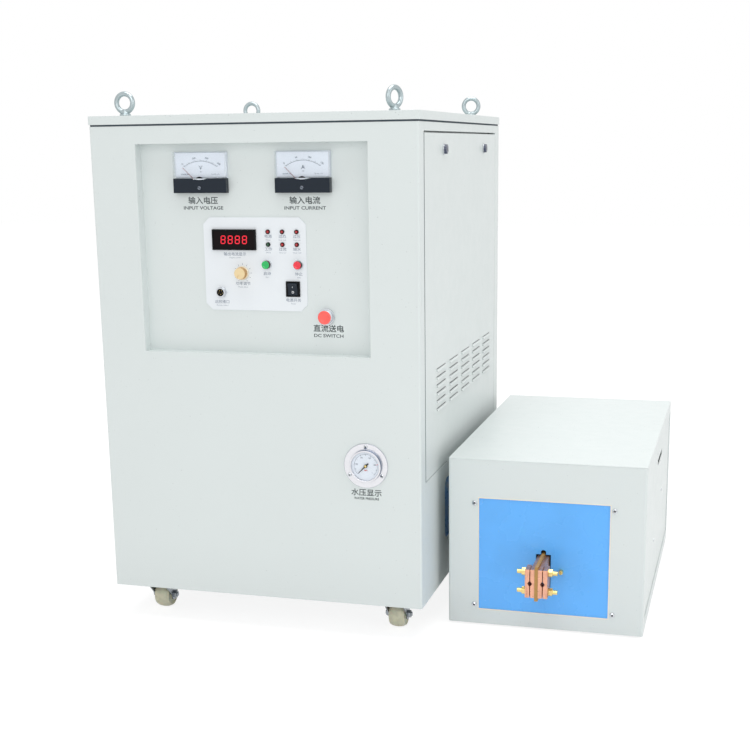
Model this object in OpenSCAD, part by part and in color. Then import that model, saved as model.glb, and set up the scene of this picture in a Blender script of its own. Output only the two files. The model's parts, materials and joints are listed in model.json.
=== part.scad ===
// Induction heating machine: a power cabinet on four swivel casters, with the separate
// heating head that stands beside it. Millimetres. The origin is on the floor under the
// middle of the cabinet, +Z is up and the front faces -Y.

/* [Cabinet] */
// Width of the power cabinet
cab_w = 600; // [580:10:720]
// Depth of the power cabinet, front to back
cab_d = 700; // [680:10:820]
// Height of the lid's top above the floor
cab_h = 930; // [920:10:1100]
// Thickness of the folded steel sheet
sheet = 2; // [1.5:0.25:2.5]
// Inside radius of the folded corners
bend_in = 1.5; // [1:0.5:3]
// Height of the lid's skirt
lid_skirt = 15; // [12:1:20]
// Dark gap under the lid's skirt
lid_gap = 3; // [2:0.5:5]
// Overhang of the lid past the body on each side
lid_over = 1.5; // [0.5:0.5:4]
// Length of the front panel that wraps round onto each side
corner_wrap = 32; // [32:1:40]
// Leg length of the frame's angle sections
angle_leg = 28; // [24:1:30]
// How far the body hangs below the base sheet
skirt_drop = 5; // [3:1:8]
// Thickness of the base sheet
base_t = 3; // [2:0.5:5]

/* [Side panels] */
// Height of the side opening's lower edge above the floor
sill_z = 290; // [270:5:320]
// Height of the fixed strip between the side opening and the lid gap
top_strip = 15; // [12:1:25]
// Width of the fixed strip behind the side opening
rear_strip = 38; // [34:1:60]
// Gap round the side panel
panel_gap = 1.5; // [1:0.5:2.5]
// Wider gap above the side panel
panel_top_gap = 3; // [2:0.5:5]
// Depth of the ledge that the side panel closes against
ledge_deep = 18; // [14:1:24]
// Width of that ledge
ledge_w = 15; // [10:1:18]
// Clearance between parts that rest near each other
seat_gap = 0.3; // [0.2:0.1:0.5]
// Columns of louvres
louvre_cols = 5; // [1:1:5]
// Rows of louvres
louvre_rows = 6; // [1:1:10]
// Length of one louvre
louvre_l = 74; // [40:1:90]
// Spacing of the louvre columns
louvre_pitch_y = 104; // [95:1:110]
// Spacing of the louvre rows
louvre_pitch_z = 14.5; // [12:0.5:20]
// Height that a louvre stands proud
louvre_r = 3.5; // [3:0.5:8]
// From the cabinet's front to the first louvre column's middle
louvre_front = 154; // [120:1:160]
// From the sill to the first louvre row
louvre_up = 113; // [60:1:160]
// Diameter of a panel lock's head
lock_d = 20; // [18:1:24]
// Height of a lock's head
lock_proud = 7; // [4:0.5:9]
// From the panel's top edge down to the locks
lock_drop = 28; // [26:1:40]
// From the cabinet's front to the front lock
lock_front = 179; // [150:1:220]
// From the cabinet's back to the rear lock
lock_back = 166; // [150:1:250]

/* [Output window] */
// From the cabinet's front to the window's front edge
window_front = 183; // [150:1:200]
// Height of the window's lower edge above the floor
window_z = 141; // [130:1:150]
// Length of the window
window_l = 334; // [300:1:380]
// Height of the window
window_h = 118; // [100:1:125]
// Corner radius of the window
window_r = 18; // [10:1:25]
// Thickness of the blue board behind the window
out_board_t = 6; // [4:1:10]

/* [Controls recess] */
// From the cabinet's left side to the recess
recess_x = 87; // [60:1:100]
// From the top of the lid down to the recess
recess_top = 49; // [48:1:60]
// Width of the recess
recess_w = 424; // [420:1:440]
// Height of the recess
recess_h = 365; // [355:1:380]
// Depth of the recess
recess_deep = 22; // [18:1:30]

/* [Panel meters] */
// Width of a panel meter
meter_w = 99; // [96:1:104]
// Height of a panel meter
meter_h = 70.5; // [64:0.5:72]
// How far a meter stands out of the recess floor
meter_proud = 13; // [12.5:0.5:20]
// Height of a meter's black strip
meter_strip = 25; // [22:0.5:28]
// From the recess's top to the top of the meters
meter_drop = 14; // [8:0.5:18]
// From the recess's left edge to the voltmeter's middle
volt_x = 115; // [100:0.5:130]
// From the recess's left edge to the ammeter's middle
amp_x = 304; // [290:0.5:330]
// Length of a meter's needle from its pivot
meter_needle = 46; // [40:1:48]

/* [Control plate] */
// Width of the white control plate
plate_w = 191; // [188:1:200]
// Height of the control plate
plate_h = 163; // [160:1:170]
// Thickness of the control plate
plate_t = 1.5; // [1:0.25:3]
// Length of the plate's cut corners
plate_cut = 12; // [4:1:16]
// From the recess's left edge to the control plate
plate_dx = 114; // [100:1:120]
// From the recess's top to the control plate
plate_dz = 126.5; // [120:0.5:135]
// Width of the digit display
display_w = 82; // [76:1:86]
// Height of the digit display
display_h = 36; // [32:1:40]
// Diameter of an indicator lamp's bezel
lamp_d = 8; // [6:0.5:10]
// Diameter of the start and stop buttons' caps
button_d = 14; // [12:0.5:16]
// Travel of the start and stop buttons
button_travel = 3; // [2:0.5:4]
// Diameter of the power knob's skirt
knob_d = 24; // [22:1:30]
// Height of the power knob
knob_h = 16; // [14:1:20]
// Width of the main rocker switch's bezel
rocker_w = 26; // [24:1:28]
// Height of the main rocker switch's bezel
rocker_h = 27; // [26:1:32]
// Angle between the rocker switch's two positions
rocker_swing = 24; // [16:2:28]
// Diameter of the remote-control socket
socket_d = 18; // [16:1:20]
// Diameter of the DC button's cap
dc_d = 24; // [22:1:28]
// Travel of the DC button
dc_travel = 4; // [3:0.5:5]

/* [Pressure gauge] */
// Diameter of the gauge's flange
gauge_d = 80; // [74:1:90]
// Diameter of the gauge's bezel
gauge_bezel_d = 58; // [52:1:62]
// How far the bezel stands proud of the front panel
gauge_proud = 8; // [7:0.5:12]
// From the cabinet's right side to the gauge's middle
gauge_side = 100; // [90:1:140]
// Height of the gauge's middle above the floor
gauge_z = 324; // [300:1:400]

/* [Casters] */
// Overall height of a caster
caster_h = 70; // [68:1:80]
// Diameter of a caster wheel
wheel_d = 50; // [46:1:52]
// Width of a caster wheel
wheel_w = 30; // [24:1:34]
// From the cabinet's side to a caster's middle
caster_side = 64; // [62:1:110]
// From the cabinet's front or back to a caster's middle
caster_end = 62; // [62:1:110]
// Trail of a wheel's axle behind its swivel
caster_trail = 18; // [14:1:20]

/* [Lifting eyes] */
// Outer diameter of an eye's ring
eye_d = 40; // [36:1:46]
// Thickness of an eye's ring
eye_t = 9; // [7:0.5:11]
// From the cabinet's side to an eye
eye_side = 52; // [48:1:60]
// From the cabinet's front or back to an eye
eye_end = 40; // [38:1:60]

/* [Heating head] */
// Gap between the cabinet and the heating head
head_gap = 22; // [20:1:120]
// How far the head's front stands behind the cabinet's front
head_back = 117; // [0:1:160]
// Width of the heating head
head_w = 358; // [350:1:400]
// Depth of the heating head
head_d = 630; // [600:5:700]
// Height of the heating head with its feet
head_h = 318; // [310:1:360]
// Height of the head's feet
foot_h = 4; // [3:1:8]
// From the head's left side to the board's opening
board_x = 57; // [40:1:65]
// Height of the board's opening above the floor
board_z = 33.5; // [30:0.5:40]
// Width of the board's opening
board_w = 237.5; // [225:0.5:245]
// Height of the board's opening
board_h = 211.5; // [200:0.5:220]
// Thickness of the blue terminal board
board_t = 8; // [5:1:12]

/* [Output terminal] */
// Height of the coil clamp's middle above the floor
clamp_z = 116; // [110:1:125]
// Reach of the output bars in front of the head
bar_reach = 80; // [60:1:100]
// Height of an output bar
bar_h = 52; // [48:1:60]
// Thickness of an output bar
bar_t = 7.5; // [7:0.5:10]
// Thickness of a clamp jaw
jaw_t = 8; // [7:0.5:10]
// Depth of a clamp jaw
jaw_l = 30; // [26:1:40]
// Slit between a bar and its jaw
slit = 1.5; // [1:0.1:2]
// Thickness of the insulating sheet between the bars
insul_t = 6; // [5:0.5:8]
// Across the flats of the brass nuts
nut_af = 13; // [12:0.5:14]
// Diameter of the brass studs
stud_d = 8; // [6:0.5:8]

/* [Hidden] */

// Overrun of every cut past the face that it opens
cut = 1;
// Radial clearance of a running fit
run_gap = 0.05;
// Radial clearance of a bolt in its hole
bolt_gap = 0.2;
// Segments of a small circle and of a large one
few = 32;
many = 64;

// Colours
paint = [0.87, 0.9, 0.89];
zinc = [0.72, 0.73, 0.74];
chrome = [0.82, 0.83, 0.85];
black = [0.12, 0.13, 0.14];
strip_black = [0.24, 0.27, 0.31];
dial_white = [0.93, 0.95, 0.97];
plate_white = [0.95, 0.96, 0.97];
board_blue = [0.41, 0.7, 1];
copper = [0.9, 0.64, 0.52];
brass = [0.92, 0.82, 0.5];
ochre = [0.8, 0.64, 0.33];
green = [0, 0.74, 0.37];
red = [0.94, 0.16, 0.24];
salmon = [1, 0.41, 0.37];
tan = [0.92, 0.8, 0.59];
nylon = [0.75, 0.75, 0.64];
lamp_red = [0.75, 0.1, 0.12];
pcb_green = [0.1, 0.4, 0.22];
alloy = [0.78, 0.79, 0.8];
ferrite = [0.2, 0.2, 0.22];

// Cabinet datums
cab_left = -cab_w / 2;
cab_right = cab_w / 2;
cab_front = -cab_d / 2;
cab_back = cab_d / 2;
bend_r = bend_in + sheet;
body_z = caster_h - skirt_drop;
skirt_z = cab_h - lid_skirt;
body_top = skirt_z - lid_gap;
frame_top = cab_h - sheet;
floor_top = caster_h + base_t;

// Side opening and its panel, as distances behind the cabinet's front
open_front = corner_wrap + seat_gap;
open_rear = cab_d - rear_strip;
open_top = body_top - top_strip;
panel_front = open_front + panel_gap;
panel_rear = open_rear - panel_gap;
panel_z = sill_z + panel_gap;
panel_top = open_top - panel_top_gap;
panel_deep = ledge_deep - seat_gap;
lock_z = panel_top - lock_drop;
lock_rear = cab_d - lock_back;
lock_stem_d = lock_d - 4 * sheet;
lock_tongue = open_top - ledge_w - seat_gap - lock_z;

// Controls recess datums
recess_l = cab_left + recess_x;
recess_t = cab_h - recess_top;
recess_y = cab_front + recess_deep;
plate_l = recess_l + plate_dx;
plate_top = recess_t - plate_dz;
plate_y = recess_y - plate_t;
plate_margin = 6.5;
cutout_w = plate_w - 2 * plate_margin;
cutout_h = plate_h - 2 * plate_margin;

// Panel meters
meter_top = recess_t - meter_drop;
meter_bottom = meter_top - meter_h;
strip_top = meter_bottom + meter_strip;
meter_flange = 4;
meter_wall = 1.8;
meter_front = recess_y - meter_proud;
meter_back_d = 60;
meter_back_l = 36;
meter_dial_t = 1;
meter_dial_edge = meter_wall + seat_gap;
dip_r = 43;
dip_up = 39.5;
pivot_up = 11;
pivot_z = meter_bottom + pivot_up;
pivot_pin_d = 3;
hub_d = 9;
hub_t = 5;
needle_w = 0.8;
needle_t = 0.8;
needle_tail = 7;
needle_rest = 45;
zero_screw_d = 7;
zero_screw_t = 1.5;

// Control plate fittings, measured from the plate's left and top edges
display_dx = 17;
display_dz = 21;
display_proud = 4;
display_rim = 3;
display_sink = 1.5;
display_deep = 26;
lamp_first_x = 121;
lamp_pitch_x = 26.5;
lamp_first_z = 25;
lamp_pitch_z = 22;
lamp_dx = [for (i = [0:2]) lamp_first_x + i * lamp_pitch_x];
lamp_dz = [for (j = [0, 1]) lamp_first_z + j * lamp_pitch_z];
lamp_proud = 3;
lamp_dome = 4;
lamp_body_d = 5;
lamp_deep = 16;
start_dx = 117.5;
stop_dx = 176;
buttons_dz = 82;
button_proud = 9;
button_collar_t = 4;
button_wall = 1;
cap_dish_share = 0.083;
button_deep = 26;
knob_dx = 71.5;
knob_dz = 97;
knob_skirt_t = 4;
knob_cap_d = 20;
knob_zero = 150;
knob_lift = 1;
knob_mark = 1.5;
shaft_d = 6;
shaft_l = 12;
pot_d = 24;
pot_deep = 14;
rocker_dx = 165;
rocker_dz = 124;
rocker_rim = 2.5;
rocker_rim_t = 2.5;
rocker_deep = 24;
rocker_reach = 11;
rocker_trunnion_d = 3;
rocker_trunnion_l = 1.5;
socket_dx = 30.5;
socket_dz = 131.5;
socket_proud = 8;
socket_bore_d = 13;
socket_nut_t = 2.5;
socket_floor = 1.5;
socket_deep = 18;
dc_dx = 339;
dc_dz = 298;
dc_proud = 14;
dc_collar_t = 5;
dc_wall = 1.5;
dc_deep = 34;
pcb_off = 46;
pcb_t = 1.6;
post_d = 6;

// Pressure gauge
gauge_x = cab_right - gauge_side;
gauge_flange_t = 1.5;
gauge_wall = 3;
gauge_body_d = gauge_bezel_d - gauge_wall;
gauge_deep = 28;
gauge_hole_gap = 0.5;
gauge_dial_t = 1;
gauge_glass_t = 1.5;
gauge_dial_sink = 7;
gauge_screw_ring = (gauge_d + gauge_bezel_d) / 4;
gauge_needle_l = 19;
gauge_needle_w = 1.2;
gauge_tail_l = 8;
gauge_hub_d = 6;
gauge_hub_t = 3;
gauge_pin_d = 2;
gauge_stem_d = 13;
gauge_stem_l = 22;
gauge_zero = 135;

// Fasteners
screw_d = 5;
screw_head_d = 9.5;
screw_head_t = 3.2;
screw_l = 12;
small_screw_d = 4;
small_head_d = 7.5;
small_head_t = 2.4;
small_screw_l = 9;

// Casters
axle_z = wheel_d / 2;
plate_size_x = 60;
plate_size_y = 52;
caster_plate_t = 3;
race_d = 46;
race_t = 6;
kingpin_d = 10;
kingpin_head_d = 16;
kingpin_head_t = 3.4;
crown_t = 3;
crown_z = 54;
cheek_t = 2.5;
cheek_gap = 0.8;
cheek_end_r = 11;
cheek_top_w = 38;
axle_d = 8;
axle_nut_t = 5;
axle_nut_af = 13;
hub_boss_d = 18;
tread_edge = 4;
web_sink = 2;

// Lifting eyes
eye_collar_d = 20;
eye_collar_t = 4;
eye_shank_d = 12;
eye_shank_l = 16;
eye_nut_af = 19;
eye_nut_t = 9;
gusset = 84;
eye_turns = [[-1, -1, 0], [1, -1, 62], [-1, 1, 0], [1, 1, 12]];

// Heating head datums
head_x = cab_right + head_gap;
head_y = cab_front + head_back;
base_z = foot_h;
head_return = 30;
rim_h = 20;
cover_skirt = 23;
foot_d = 30;
foot_inset = 34;
board_lap = 14;
board_screw_dx = 127;
board_screw_low = 7.5;
board_screw_high = 202.5;
slot_l = 118;
slot_h = 12;
slot_y = 350;
slot_drop = 68;
cover_screw_y1 = 237;
cover_screw_z1 = 116;
cover_screw_y2 = 425;
cover_screw_z2 = 170;
cover_screw_places = [[cover_screw_y1, cover_screw_z1], [cover_screw_y2, cover_screw_z2]];
clamp_dx = 176;
clamp_x = head_x + clamp_dx;
bar_side = insul_t / 2;
hole_half_w = 4.2;
hole_half_h = 5.8;
stud_y = 15;
stud_rise = 17.5;
stud_in = 2;
stud_out = 16;
nut_t = 7.5;
board_stud_dx = 33;
board_stud_l = 9;
insul_below = 6;
insul_above = 5;
board_hole_side = 3;
board_hole_over = 3.5;
notch_side = 2;
board_hole_w = 2 * (bar_side + bar_t + board_hole_side);
board_hole_up = bar_h / 2 + board_hole_over;
board_hole_down = bar_h / 2 + insul_below + seat_gap;
notch_r = bar_side + notch_side;
notch_up = bar_h / 2 + insul_above + notch_side;
bar_tail_l = 60;
core_w = 150;
core_h = 150;
core_l = 130;
core_window_w = 50;
core_window_h = 80;
core_foot = 40;
block_l = 180;
cap_size = 70;
cap_h = 60;
cap_gap = 14;
cap_rows_n = 3;
cap_back = 42;
bus_t = 5;
tail_d = 10;
tail_bore = 6;
tail_l = 32;
tail_hex = 18;
tail_hex_t = 10;
tail_barb = 1.2;
tail_thread_l = 12;
head_tail_in = 24;
head_tail_pitch_x = 34;
head_tail_up = 52;
head_tail_pitch_z = 32;
head_tail_dx = [head_tail_in, head_tail_in + head_tail_pitch_x];
head_tail_z = [head_tail_up, head_tail_up + head_tail_pitch_z];

// Cabinet inside
cool_w = 420;
cool_h = 430;
cool_t = 16;
cool_z = 170;
cool_bore = 10;
module_w = 106;
module_h = 62;
module_t = 30;
module_n = 3;
can_d = 76;
can_h = 150;
can_gap = 14;
manifold_w = 200;
manifold_h = 30;
manifold_d = 30;
manifold_z = 150;
tail_pitch = 46;
gland_d = 32;
gland_bore = 22;
gland_l = 20;
gland_side = 90;
gland_z = 150;
vent_n = 10;
vent_l = 200;
vent_h = 6;
vent_pitch = 14;
vent_z = 520;

// Rectangle with round corners, its lower-left corner at the origin
module round_rect(w, h, r) {
  translate([r, 0])
    square([w - 2 * r, h]);
  translate([0, r])
    square([w, h - 2 * r]);
  for (x = [r, w - r], y = [r, h - r])
    translate([x, y])
      circle(r, $fn = few);
}

// Rectangle with its two front corners round
module round_front(w, d, r) {
  translate([0, r])
    square([w, d - r]);
  translate([r, 0])
    square([w - 2 * r, d]);
  for (x = [r, w - r])
    translate([x, r])
      circle(r, $fn = few);
}

// Plan of a front sheet with a return at each side
module folded_u(w, d, r, t) {
  difference() {
    round_front(w, d, r);
    translate([t, t])
      round_front(w - 2 * t, d, r - t);
  }
}

// Cylinder whose axis points to the front, its rear face at y = 0
module facing(d, l, n = few) {
  rotate([90, 0, 0])
    cylinder(d = d, h = l, $fn = n);
}

// Cylinder whose axis runs along X, centred
module crosswise(d, l, n = few) {
  rotate([0, 90, 0])
    cylinder(d = d, h = l, center = true, $fn = n);
}

// Hexagonal prism by its width across the flats
module hex(af, h) {
  cylinder(d = af / cos(30), h = h, $fn = 6);
}

// Pan-head screw that faces -Y, its head seated on y = 0
module pan_screw(d, head_d, head_t, l) {
  facing(head_d, head_t);
  translate([0, l, 0])
    facing(d, l);
}

// Hexagon and barbed tube of a hose tail along +Z, with a thread of length l below z = 0
module tail_outside(l) {
  hex(tail_hex, tail_hex_t);
  translate([0, 0, -l])
    cylinder(d = tail_d, h = l + tail_l, $fn = few);
  for (i = [1, 2])
    translate([0, 0, tail_l - i * tail_hex_t])
      cylinder(d1 = tail_d + 2 * tail_barb, d2 = tail_d, h = tail_hex_t / 2, $fn = few);
}

// Hose tail along +Y from a panel's outer face at y = 0, bored through
module hose_tail() {
  rotate([-90, 0, 0])
    difference() {
      tail_outside(tail_thread_l);
      translate([0, 0, -tail_thread_l - cut])
        cylinder(d = tail_bore, h = tail_l + tail_thread_l + 2 * cut, $fn = few);
    }
}

// Base sheet with an upright edge all round and two cross channels over the casters
module base_frame() {
  inner_w = cab_w - 2 * sheet;
  inner_d = cab_d - 2 * sheet;
  color(zinc)
    translate([-inner_w / 2, -inner_d / 2, caster_h]) {
      linear_extrude(height = base_t)
        round_rect(inner_w, inner_d, bend_in);
      linear_extrude(height = base_t + angle_leg)
        difference() {
          round_rect(inner_w, inner_d, bend_in);
          translate([sheet, sheet])
            square([inner_w - 2 * sheet, inner_d - 2 * sheet]);
        }
      for (y = [caster_end - sheet, inner_d - caster_end + sheet])
        translate([sheet, y - plate_size_y / 2, 0])
          difference() {
            cube([inner_w - 2 * sheet, plate_size_y, base_t + angle_leg - sheet]);
            translate([-cut, sheet, base_t])
              cube([inner_w, plate_size_y - 2 * sheet, angle_leg - 2 * sheet]);
          }
    }
}

// Angle post in the front left corner; it is mirrored to the other three
module corner_post() {
  leg_y = open_front - 2 * sheet;
  translate([cab_left + sheet, cab_front + sheet, floor_top + angle_leg])
    linear_extrude(height = frame_top - floor_top - angle_leg) {
      translate([0, bend_in])
        square([sheet, leg_y - bend_in]);
      translate([bend_in, 0])
        square([angle_leg - bend_in, sheet]);
      translate([bend_in, bend_in])
        circle(bend_in, $fn = few);
    }
}

// Right side skin with its opening, jamb and ledge
module side_skin() {
  open_l = open_rear - open_front;
  open_h = open_top - sill_z;
  translate([cab_right - sheet, cab_front, 0]) {
    difference() {
      translate([0, open_front, body_z])
        cube([sheet, cab_d - open_front - sheet, body_top - body_z]);
      translate([-cut, open_front, sill_z])
        cube([sheet + 2 * cut, open_l, open_h]);
    }
  }
  translate([cab_right - ledge_deep - sheet, cab_front, 0])
    difference() {
      translate([0, open_front - sheet, sill_z - sheet])
        cube([ledge_deep, open_l + 2 * sheet, open_h + 2 * sheet]);
      translate([sheet, open_front, sill_z])
        cube([ledge_deep, open_l, open_h]);
      translate([-cut, open_front + ledge_w, sill_z + ledge_w])
        cube([ledge_deep + 2 * cut, open_l - 2 * ledge_w, open_h - 2 * ledge_w]);
    }
}

// Welded frame: posts, top ring with corner plates and both side skins
module body_frame() {
  inner_w = cab_w - 2 * sheet;
  inner_d = cab_d - 2 * sheet;
  ring_z = open_top + sheet;
  color(paint)
    difference() {
      union() {
        for (mx = [0, 1], my = [0, 1])
          mirror([mx, 0, 0])
            mirror([0, my, 0])
              corner_post();
        for (mx = [0, 1])
          mirror([mx, 0, 0])
            side_skin();
        translate([-inner_w / 2, -inner_d / 2, ring_z])
          difference() {
            linear_extrude(height = frame_top - ring_z)
              round_rect(inner_w, inner_d, bend_in);
            translate([sheet, sheet, -cut])
              cube([inner_w - 2 * sheet, inner_d - 2 * sheet, frame_top - ring_z - sheet + cut]);
            translate([angle_leg, angle_leg, 0])
              cube([inner_w - 2 * angle_leg, inner_d - 2 * angle_leg, frame_top]);
          }
        for (x = [-1, 1], y = [-1, 1])
          translate([x * (inner_w / 2 - sheet - gusset / 2), y * (inner_d / 2 - sheet - gusset / 2),
                     frame_top - sheet / 2])
            cube([gusset, gusset, sheet], center = true);
      }
      for (e = eye_turns)
        translate([e[0] * (cab_right - eye_side), e[1] * (cab_back - eye_end), frame_top - sheet - cut])
          cylinder(d = eye_shank_d + 2 * bolt_gap, h = sheet + 2 * cut, $fn = few);
      translate([cab_right - sheet - cut, cab_front + window_front, window_z])
        rotate([90, 0, 90])
          linear_extrude(height = sheet + 2 * cut)
            round_rect(window_l, window_h, window_r);
    }
}

// Front panel, folded round both corners, with the recess and gauge openings
module front_panel() {
  color(paint)
    difference() {
      translate([cab_left, cab_front, body_z]) {
        linear_extrude(height = body_top - body_z)
          folded_u(cab_w, corner_wrap, bend_r, sheet);
        linear_extrude(height = sheet)
          round_front(cab_w, corner_wrap, bend_r);
      }
      translate([recess_l, cab_front - cut, recess_t - recess_h])
        cube([recess_w, sheet + 2 * cut, recess_h]);
      translate([gauge_x, cab_front + sheet + cut, gauge_z])
        facing(gauge_body_d + 2 * gauge_hole_gap, sheet + 2 * cut, many);
      for (a = [90, 210, 330])
        translate([gauge_x + gauge_screw_ring * cos(a), cab_front + sheet + cut,
                   gauge_z + gauge_screw_ring * sin(a)])
          facing(small_screw_d + 2 * bolt_gap, sheet + 2 * cut);
    }
}

// Places of the rear panel's screws, as [x, z]
rear_screws = [for (x = [cab_left + bend_r + angle_leg / 2, cab_right - bend_r - angle_leg / 2],
                    i = [0, 1, 2])
                 [x, floor_top + 2 * angle_leg + i * (body_top - floor_top - 3 * angle_leg) / 2]];

// Rear panel with vents, the mains gland hole and the hose tail holes
module rear_panel() {
  color(paint)
    difference() {
      translate([cab_left, cab_back - sheet, body_z])
        cube([cab_w, sheet, body_top - body_z]);
      for (i = [0:vent_n - 1])
        translate([-vent_l / 2, cab_back - sheet - cut, vent_z + i * vent_pitch])
          cube([vent_l, sheet + 2 * cut, vent_h]);
      for (i = [-1.5:1:1.5])
        translate([i * tail_pitch, cab_back + cut, manifold_z])
          facing(tail_d + 2 * bolt_gap, sheet + 2 * cut);
      translate([cab_left + gland_side, cab_back + cut, gland_z])
        facing(gland_d + 2 * bolt_gap, sheet + 2 * cut);
      for (p = rear_screws)
        translate([p[0], cab_back + cut, p[1]])
          facing(small_screw_d + 2 * bolt_gap, sheet + 2 * cut);
    }
}

// Lid with a skirt on all four sides
module lid() {
  lid_w = cab_w + 2 * lid_over;
  lid_d = cab_d + 2 * lid_over;
  color(paint)
    difference() {
      translate([-lid_w / 2, -lid_d / 2, skirt_z])
        linear_extrude(height = lid_skirt)
          round_rect(lid_w, lid_d, bend_r);
      translate([-lid_w / 2 + sheet, -lid_d / 2 + sheet, skirt_z - cut])
        linear_extrude(height = lid_skirt - sheet + cut)
          round_rect(lid_w - 2 * sheet, lid_d - 2 * sheet, bend_in);
      for (e = eye_turns)
        translate([e[0] * (cab_right - eye_side), e[1] * (cab_back - eye_end), frame_top - cut])
          cylinder(d = eye_shank_d + 2 * bolt_gap, h = sheet + 2 * cut, $fn = few);
    }
}

// One lifting eye with its nut, standing on z = 0
module eye_bolt() {
  ring_r = (eye_d - eye_t) / 2;
  translate([0, 0, eye_collar_t + eye_d / 2 - sheet / 2])
    rotate([90, 0, 0])
      rotate_extrude($fn = many)
        translate([ring_r, 0])
          circle(d = eye_t, $fn = few);
  cylinder(d = eye_collar_d, h = eye_collar_t, $fn = few);
  translate([0, 0, -eye_shank_l])
    cylinder(d = eye_shank_d, h = eye_shank_l, $fn = few);
  translate([0, 0, -2 * sheet - eye_nut_t])
    difference() {
      hex(eye_nut_af, eye_nut_t);
      translate([0, 0, -cut])
        cylinder(d = eye_shank_d + 2 * run_gap, h = eye_nut_t + 2 * cut, $fn = few);
    }
}

module eye_bolts() {
  color(chrome)
    for (e = eye_turns)
      translate([e[0] * (cab_right - eye_side), e[1] * (cab_back - eye_end), cab_h])
        rotate([0, 0, e[2]])
          eye_bolt();
}

// Pan that forms the controls recess
module instrument_panel() {
  color(paint)
    difference() {
      translate([recess_l - sheet, cab_front + sheet, recess_t - recess_h - sheet])
        cube([recess_w + 2 * sheet, recess_deep, recess_h + 2 * sheet]);
      translate([recess_l, cab_front, recess_t - recess_h])
        cube([recess_w, recess_deep, recess_h]);
      for (x = [volt_x, amp_x])
        translate([recess_l + x, recess_y + sheet + cut, (meter_top + meter_bottom) / 2])
          facing(meter_back_d + 2 * bolt_gap, sheet + 2 * cut, many);
      translate([plate_l + plate_margin, recess_y - cut, plate_top - plate_margin - cutout_h])
        cube([cutout_w, sheet + 2 * cut, cutout_h]);
      translate([recess_l + dc_dx, recess_y + sheet + cut, recess_t - dc_dz])
        facing(dc_d + 2 * dc_wall + 2 * bolt_gap, sheet + 2 * cut, many);
    }
}

// One pressed louvre that opens downwards, on a face at x = 0
module louvre() {
  difference() {
    rotate([90, 0, 0])
      cylinder(r = louvre_r, h = louvre_l, center = true, $fn = few);
    translate([-louvre_r - sheet, -louvre_l, -louvre_r])
      cube([louvre_r, 2 * louvre_l, 2 * louvre_r]);
    translate([-louvre_r, -louvre_l, -2 * louvre_r])
      cube([2 * louvre_r, 2 * louvre_l, 2 * louvre_r]);
    louvre_inside();
  }
}

// The hollow under a louvre, with its slot through the panel
module louvre_inside() {
  wall = sheet / 2;
  intersection() {
    rotate([90, 0, 0])
      cylinder(r = louvre_r - wall, h = louvre_l - 2 * wall, center = true, $fn = few);
    translate([-louvre_r, -louvre_l, 0])
      cube([2 * louvre_r, 2 * louvre_l, louvre_r]);
  }
}

// Right-hand louvred panel, a shallow pan
module louvred_panel(with_locks) {
  w = panel_rear - panel_front;
  h = panel_top - panel_z;
  color(paint)
    translate([cab_right, cab_front, 0])
      difference() {
        union() {
          translate([-panel_deep, panel_front, panel_z])
            cube([panel_deep, w, h]);
          for (i = [0:louvre_cols - 1], j = [0:louvre_rows - 1])
            translate([0, louvre_front + i * louvre_pitch_y, sill_z + louvre_up + j * louvre_pitch_z])
              louvre();
        }
        translate([-panel_deep - cut, panel_front + sheet, panel_z + sheet])
          cube([panel_deep - sheet + cut, w - 2 * sheet, h - 2 * sheet]);
        for (i = [0:louvre_cols - 1], j = [0:louvre_rows - 1])
          translate([0, louvre_front + i * louvre_pitch_y, sill_z + louvre_up + j * louvre_pitch_z])
            louvre_inside();
        if (with_locks)
          for (y = [lock_front, lock_rear])
            translate([-sheet / 2, y, lock_z])
              crosswise(lock_stem_d + 2 * run_gap, sheet + 2 * cut);
        if (!with_locks)
          for (y = [lock_front, lock_rear])
            translate([-sheet / 2, y, lock_z])
              crosswise(small_screw_d + 2 * bolt_gap, sheet + 2 * cut);
      }
}

module right_side_panel() {
  louvred_panel(true);
}

module left_side_panel() {
  mirror([1, 0, 0])
    louvred_panel(false);
}

// Quarter-turn lock: head with a key slot, stem and a tongue behind the ledge
module panel_lock(y) {
  tongue_x = -ledge_deep - sheet - seat_gap;
  translate([cab_right, cab_front + y, lock_z])
    color(chrome)
      difference() {
        union() {
          rotate([0, 90, 0])
            cylinder(d = lock_d, h = sheet, $fn = few);
          rotate([0, 90, 0])
            cylinder(d1 = lock_d - sheet, d2 = lock_d - 2 * sheet, h = lock_proud, $fn = few);
          translate([tongue_x - sheet, 0, 0])
            rotate([0, 90, 0])
              cylinder(d = lock_stem_d, h = -tongue_x + 2 * sheet, $fn = few);
          translate([tongue_x - sheet, -lock_stem_d / 2, 0])
            cube([sheet, lock_stem_d, lock_tongue]);
        }
        translate([lock_proud - sheet, -sheet / 2, -lock_stem_d / 4])
          cube([sheet + cut, sheet, lock_stem_d / 2]);
      }
}

module right_lock_front() {
  panel_lock(lock_front);
}

module right_lock_rear() {
  panel_lock(lock_rear);
}

// Screws of the gauge flange, the rear panel and the left side panel
module cabinet_screws() {
  color(chrome) {
    for (a = [90, 210, 330])
      translate([gauge_x + gauge_screw_ring * cos(a), cab_front - gauge_flange_t,
                 gauge_z + gauge_screw_ring * sin(a)])
        pan_screw(small_screw_d, small_head_d, small_head_t, small_screw_l);
    for (p = rear_screws)
      translate([p[0], cab_back, p[1]])
        rotate([0, 0, 180])
          pan_screw(small_screw_d, small_head_d, small_head_t, sheet);
    for (y = [lock_front, lock_rear])
      translate([cab_left, cab_front + y, lock_z])
        rotate([0, 0, -90])
          pan_screw(small_screw_d, small_head_d, small_head_t, small_screw_l);
  }
}

// Centre of a caster's swivel for a corner given by its signs
function caster_x(sx) = sx * (cab_right - caster_side);
function caster_y(sy) = sy * (cab_back - caster_end);

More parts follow.
